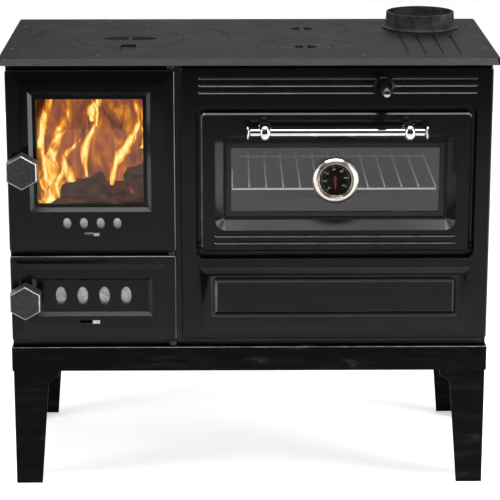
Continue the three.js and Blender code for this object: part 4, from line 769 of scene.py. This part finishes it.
def lathed(name, profile, replaced=()):
    """A piece turned about the thermometer's axis; its profile is radius and depth."""
    centre = middle("thermometer_case")
    steps = 72
    points, faces = [], []
    count = len(profile)
    for i in range(steps):
        a = 2 * math.pi * i / steps
        points += [mm(centre.x + r * math.cos(a), y, centre.z + r * math.sin(a))
                   for r, y in profile]
        near, far = i * count, (i + 1) % steps * count
        for j in range(count):
            k = (j + 1) % count
            if profile[j][0] or profile[k][0]:
                faces.append((near + j, near + k, far + k, far + j))
    mesh = bpy.data.meshes.new(name)
    mesh.from_pydata(points, [], faces)
    turned_outward(mesh)
    show(name, mesh, "nickel", "oven_door", replaced)


def add_bezel():
    """Spun case with a broad bright brow, its probe, and the polished cone round the dial."""
    front, probe_end = (corner.y for corner in box_mm("thermometer_case"))
    back = box_mm("oven_door_glass")[0].y - 0.3
    outer, bore, floor, probe = 43.0, 32.5, 4.0, 4.0
    inside = [(0, back - floor), (bore - 1, back - floor), (bore - 1, front + 5.2),
              (bore, front + 5.2)]
    brow = [(bore, front + 0.8), (bore + 0.5, front), (bore + 1.1, front + 0.1),
            (bore + 2.8, front + 1.0), (bore + 4.6, front + 2.2), (bore + 6.4, front + 3.6),
            (bore + 8.2, front + 5.3), (outer - 0.6, front + 7.4), (outer, front + 9.5),
            (outer - 0.5, front + 13)]
    rear = [(outer - 3, front + 18), (outer - 7, back), (outer - 8, back), (probe + 0.6, back),
            (probe, back + 0.6), (probe, probe_end - 0.6), (probe - 0.6, probe_end), (0, probe_end)]
    lathed("thermometer_bezel", inside + brow + rear, ("thermometer_case",))
    glass_back = box_mm("thermometer_lens")[1].y
    dial_face = box_mm("thermometer_dial")[1].y - 1.4
    cone_top, cone_foot, cone_sheet = bore - 1.1, 27.6, 0.6
    lathed("thermometer_cone", [
        (cone_top, glass_back + 0.3), (cone_foot, dial_face), (cone_foot + cone_sheet, dial_face),
        (cone_top, glass_back + 1.6)])


def add_oven_print():
    """Black border fired on the front of the oven glass, which leaves the clear window."""
    glass = (-42.0, 512.9, 356.4, 651.1)
    window = (-33.3, 521.8, 347.6, 642.2)
    y = box_mm("oven_door_glass")[0].y - 0.1
    corners = [mm(x, y, z) for left, low, right, high in (glass, window)
               for x, z in ((left, low), (right, low), (right, high), (left, high))]
    mesh = bpy.data.meshes.new("print")
    mesh.from_pydata(corners, [], [(0, 1, 5, 4), (1, 2, 6, 5), (2, 3, 7, 6), (3, 0, 4, 7)])
    show("oven_glass_border", mesh, "print", "oven_door")


def add_rack():
    """Smooth wires and bars in place of the rack's faceted ones."""
    low, high = box_mm("oven_rack")
    wire, bar, count = 1.15, 1.7, 13
    pitch = (high.x - low.x - 2 * wire) / (count - 1)
    z_wire = high.z - wire
    first_wire = line_mesh([(low.x + wire, low.y, z_wire), (low.x + wire, high.y, z_wire)])
    sizes = {"Wire radius": wire * MM, "Pitch": pitch * MM, "Count": count}
    parts = [grown("rack_wires", wire_nodes, sizes, "wire", first_wire)]
    for y in (low.y + bar, high.y - bar):
        along = line_mesh([(low.x, y, low.z + bar), (high.x, y, low.z + bar)])
        sizes = {"Wire radius": bar * MM, "Pitch": 0.0, "Count": 1}
        parts.append(grown("rack_bar", wire_nodes, sizes, "wire", along))
    mesh = joined(parts)
    for face in mesh.polygons:
        face.use_smooth = len(face.vertices) == 4
    show("oven_rack_wires", mesh, "wire", "root", ("oven_rack",))


def add_rope_seal():
    """Twisted rope in the fire door's groove, along a loop with round corners."""
    low, high = box_mm("fire_door_gasket")
    radius = (high.y - low.y) / 2
    y = (low.y + high.y) / 2
    inset, corner, corner_steps = 3.5, 8, 6
    left, right = low.x + inset + corner, high.x - inset - corner
    bottom, top = low.z + inset + corner, high.z - inset - corner
    points = []
    for x, z, start in ((right, top, 0), (left, top, 90),
                        (left, bottom, 180), (right, bottom, 270)):
        for step in range(corner_steps + 1):
            a = math.radians(start + step * 90 / corner_steps)
            points.append((x + corner * math.cos(a), y, z + corner * math.sin(a)))
    mesh = grown("rope", rope_nodes, {"Radius": radius * MM, "Turns": 90.0, "Steps": 900},
                 "rope_seal", line_mesh(points, True))
    show("fire_door_rope", mesh, "rope_seal", "fire_door", ("fire_door_gasket",))


def add_screws():
    """Heads on the hob, the back panel and the frame behind the fire door's glass."""
    side, hob_z = 433, 812.1
    hob = [(x, y, hob_z) for x, y in (
        (-side, -87), (-side, 162), (side, -87), (side, 162),
        (-271, -157.5), (208, -157.5), (-271, 224), (150, 240))]
    screws("hob_screws", hob, (0, 0, 1), "root", 3.4, "pale_iron_and_edge_highlight")
    back_y = 220.1
    back = [(x, back_y, z) for x in (-415, -138, 138, 415) for z in (283, 786)]
    back += [(x, back_y, z) for x in (-425, 425) for z in (440, 620)]
    screws("back_panel_screws", back, (0, 1, 0), "root", 3.8)
    low, high = box_mm("fire_glass_retainer")
    retainer = [(x, high.y, z) for x in (low.x + 9, high.x - 9) for z in (low.z + 40, high.z - 40)]
    screws("fire_glass_screws", retainer, (0, 1, 0), "fire_door", 3.0)


def noisy(point, size_mm, amount):
    """How far a surface point moves out, in millimetres, by smooth noise."""
    return noise.noise(Vector(point) / size_mm) * amount


def add_log(name, start, end, radius, seed):
    """A split log, charred: a ridged cylinder with one flatter side and narrower ends."""
    start, end = Vector(start), Vector(end)
    along = (end - start).normalized()
    side = along.cross(Vector((0, 0, 1))).normalized()
    up = side.cross(along)
    rings, spokes = 28, 36
    split_from, split_to, split_share = 1.2, 2.6, 0.82
    end_share, end_growth = 0.6, 4
    points, faces = [], []
    for i in range(rings + 1):
        t = i / rings
        centre = start.lerp(end, t)
        ends = min(1.0, end_growth * t + end_share, end_growth * (1 - t) + end_share)
        for j in range(spokes):
            a = 2 * math.pi * j / spokes
            split = split_share if split_from < a < split_to else 1.0
            way = side * math.cos(a) + up * math.sin(a)
            place = way * radius + Vector((seed * 50, t * 60, 0))
            r = radius * ends * split + noisy(place, 24, 9) + noisy(place * 2.7, 16, 3)
            points.append(mm(*(centre + way * r)))
    for i in range(rings):
        for j in range(spokes):
            near, far, k = i * spokes, (i + 1) * spokes, (j + 1) % spokes
            faces.append((near + j, near + k, far + k, far + j))
    faces.append(tuple(reversed(range(spokes))))
    faces.append(tuple(range(rings * spokes, (rings + 1) * spokes)))
    mesh = bpy.data.meshes.new(name)
    mesh.from_pydata(points, [], faces)
    turned_outward(mesh)
    show(name, mesh, "charred_wood", "root")


def sheet_faces(first, rows, columns):
    """Quads between the points of a sheet, which lie row by row from the given index."""
    return [(a, a + 1, a + columns + 2, a + columns + 1)
            for i in range(rows) for j in range(columns) for a in [first + i * (columns + 1) + j]]


def tongue(points, faces, marks, foot, height, width, lean, sway, phase):
    """Adds one flame to the lists: a wavy ribbon that swells, then narrows to a tip."""
    rows, columns = 30, 6
    belly, fullness, bow_depth = 0.35, 1.35, 10
    faces.extend(sheet_faces(len(points), rows, columns))
    for i in range(rows + 1):
        t = i / rows
        if t < belly:
            swell = 0.35 + 1.5 * t
        else:
            swell = (0.875 + 0.1 * math.sin(t * 9)) * (1 - t) ** 0.55
        spread = fullness * width * swell
        x = foot[0] + lean * t + 1.5 * sway * math.sin(phase + t * 7.5) * (0.3 + t)
        for j in range(columns + 1):
            u = j / columns
            bow = bow_depth * math.cos((u - 0.5) * math.pi)
            points.append(mm(x + (u - 0.5) * spread, foot[1] - bow, foot[2] + height * t))
            marks.append((u, t))


def add_flames():
    """Thirteen tongues in one mesh, whose UV map says how far across and up each point is."""
    points, faces, marks = [], [], []
    for foot, height, width, lean, sway, phase in (
            ((-386, -30, 474), 262, 50, 10, 8, 0.0), ((-366, 10, 480), 240, 50, 12, 9, 1.4),
            ((-374, -60, 470), 150, 42, 26, 8, 2.2), ((-344, 30, 510), 120, 34, 10, 9, 0.6),
            ((-308, -10, 556), 168, 22, 16, 9, 2.9), ((-256, -30, 545), 190, 34, 62, 8, 3.6),
            ((-204, 20, 604), 130, 32, 30, 8, 1.0), ((-296, 50, 650), 90, 30, 4, 8, 4.0),
            ((-156, 40, 610), 128, 24, 8, 8, 2.4), ((-350, -100, 468), 70, 34, 26, 6, 1.9),
            ((-384, -95, 468), 60, 32, 8, 5, 0.2), ((-300, -112, 466), 30, 50, 8, 3, 3.0),
            ((-228, -112, 466), 26, 42, -6, 3, 1.0)):
        tongue(points, faces, marks, foot, height, width, lean, sway, phase)
    mesh = bpy.data.meshes.new("flames")
    mesh.from_pydata(points, [], faces)
    layer = mesh.uv_layers.new(name="flame")
    for loop in mesh.loops:
        layer.data[loop.index].uv = marks[loop.vertex_index]
    for face in mesh.polygons:
        face.use_smooth = True
    show("flames", mesh, "flame", "root")


def add_fire():
    """Four burning logs on the grate, the flames round them and the glowing haze behind."""
    add_log("log_front", (-374, -88, 503), (-206, -66, 504), 36, 1)
    add_log("log_rear", (-372, 40, 505), (-176, 4, 506), 38, 2)
    add_log("log_left", (-348, -66, 520), (-264, -58, 549), 35, 3)
    add_log("log_right", (-232, -52, 548), (-126, -36, 566), 37, 4)
    add_flames()
    rows, columns = 12, 24
    left, width, back, bow_depth, bottom, height = -392, 274, 100, 22, 470, 264
    sheet = [mm(left + width * j / columns, back - bow_depth * math.sin(math.pi * j / columns),
                bottom + height * i / rows) for i in range(rows + 1) for j in range(columns + 1)]
    haze = bpy.data.meshes.new("fire_haze")
    haze.from_pydata(sheet, [], sheet_faces(0, rows, columns))
    show("fire_haze", haze, "haze", "root")


def second_finish(piece, look, chosen):
    """Gives another finish to the faces that chosen(face) picks."""
    piece.data.materials.append(looks[look])
    index = len(piece.data.materials) - 1
    for face in piece.data.polygons:
        if chosen(face):
            face.material_index = index


def highlighted_edge(face):
    """True for the narrow strips of a rounded edge that get a painted highlight: those that face
    up, the left-facing ones on the oven's left side, and the right-facing ones at the fire door's
    right edge.
    """
    strip_area, reach = 0.0012, 3
    normal, centre = face.normal, face.center
    oven_side = normal.x < -0.15 and normal.z > -0.1 and -0.13 < centre.x < 0.05
    door_side = normal.x > 0.15 and abs(centre.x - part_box("fire_door")[1].x) < reach * MM
    highlighted = normal.z > 0.15 or oven_side or door_side
    return 0.2 < -normal.y < 0.95 and face.area < strip_area and highlighted


def finish_faces():
    """Faces of one casting or sheet that look unlike the rest of it."""
    for node in ("fire_latch_knob", "ash_latch_knob"):
        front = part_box(node)[0].y
        second_finish(eased(node, 0.5), "knob_face",
                      lambda face: face.normal.y < -0.95 and abs(face.center.y - front) < MM)
    # the slider's tab, in front of the ports, takes bare steel instead of the painted light
    tab_y = -181 * MM
    second_finish(eased("fire_air_slider", 0.4), "bare_steel", lambda face: face.center.y < tab_y)
    # the heights in metres between which a sloped face shines
    slopes = {"fire_door": (0.52, 0.6), "oven_door_skin": (0.48, 0.52), "ash_door": (0, 0.46),
              "oven_front_panel": (0, 0.46)}
    # each piece's up-facing slopes get the softer enamel, and its rounded edges a painted highlight
    for node, (low, high) in slopes.items():
        piece = eased(node, 1.4)
        second_finish(piece, "enamel_pressed",
                      lambda face: 0.3 < face.normal.z < 0.9 and low < face.center.z < high)
        second_finish(piece, "enamel_edge_highlight", highlighted_edge)
    # the plinth's rounded top bevel gets a painted highlight
    top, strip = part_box("plinth")[1].z, 1.4
    second_finish(eased("plinth", 1.2), "paint_edge_highlight",
                  lambda face: 0.2 < face.normal.z < 0.98 and face.center.z > top - strip * MM)
    # a strip round the hob's rim gets paler iron: a painted highlight
    low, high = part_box("hob_plate")
    lit_rim_width = 1.5

    def on_rim(face):
        x, y = face.center.x, face.center.y
        inward = min(x - low.x, high.x - x, y - low.y, high.y - y)
        return abs(face.normal.z) < 0.8 and inward < lit_rim_width * MM

    second_finish(eased("hob_plate", 1.0), "pale_iron_and_edge_highlight", on_rim)


set_camera()
set_stage()
set_lights()
set_room()
dress_nodes()
finish_faces()
add_bezel()
add_dial_scale()
add_oven_print()
add_rack()
add_rope_seal()
add_screws()
add_fire()
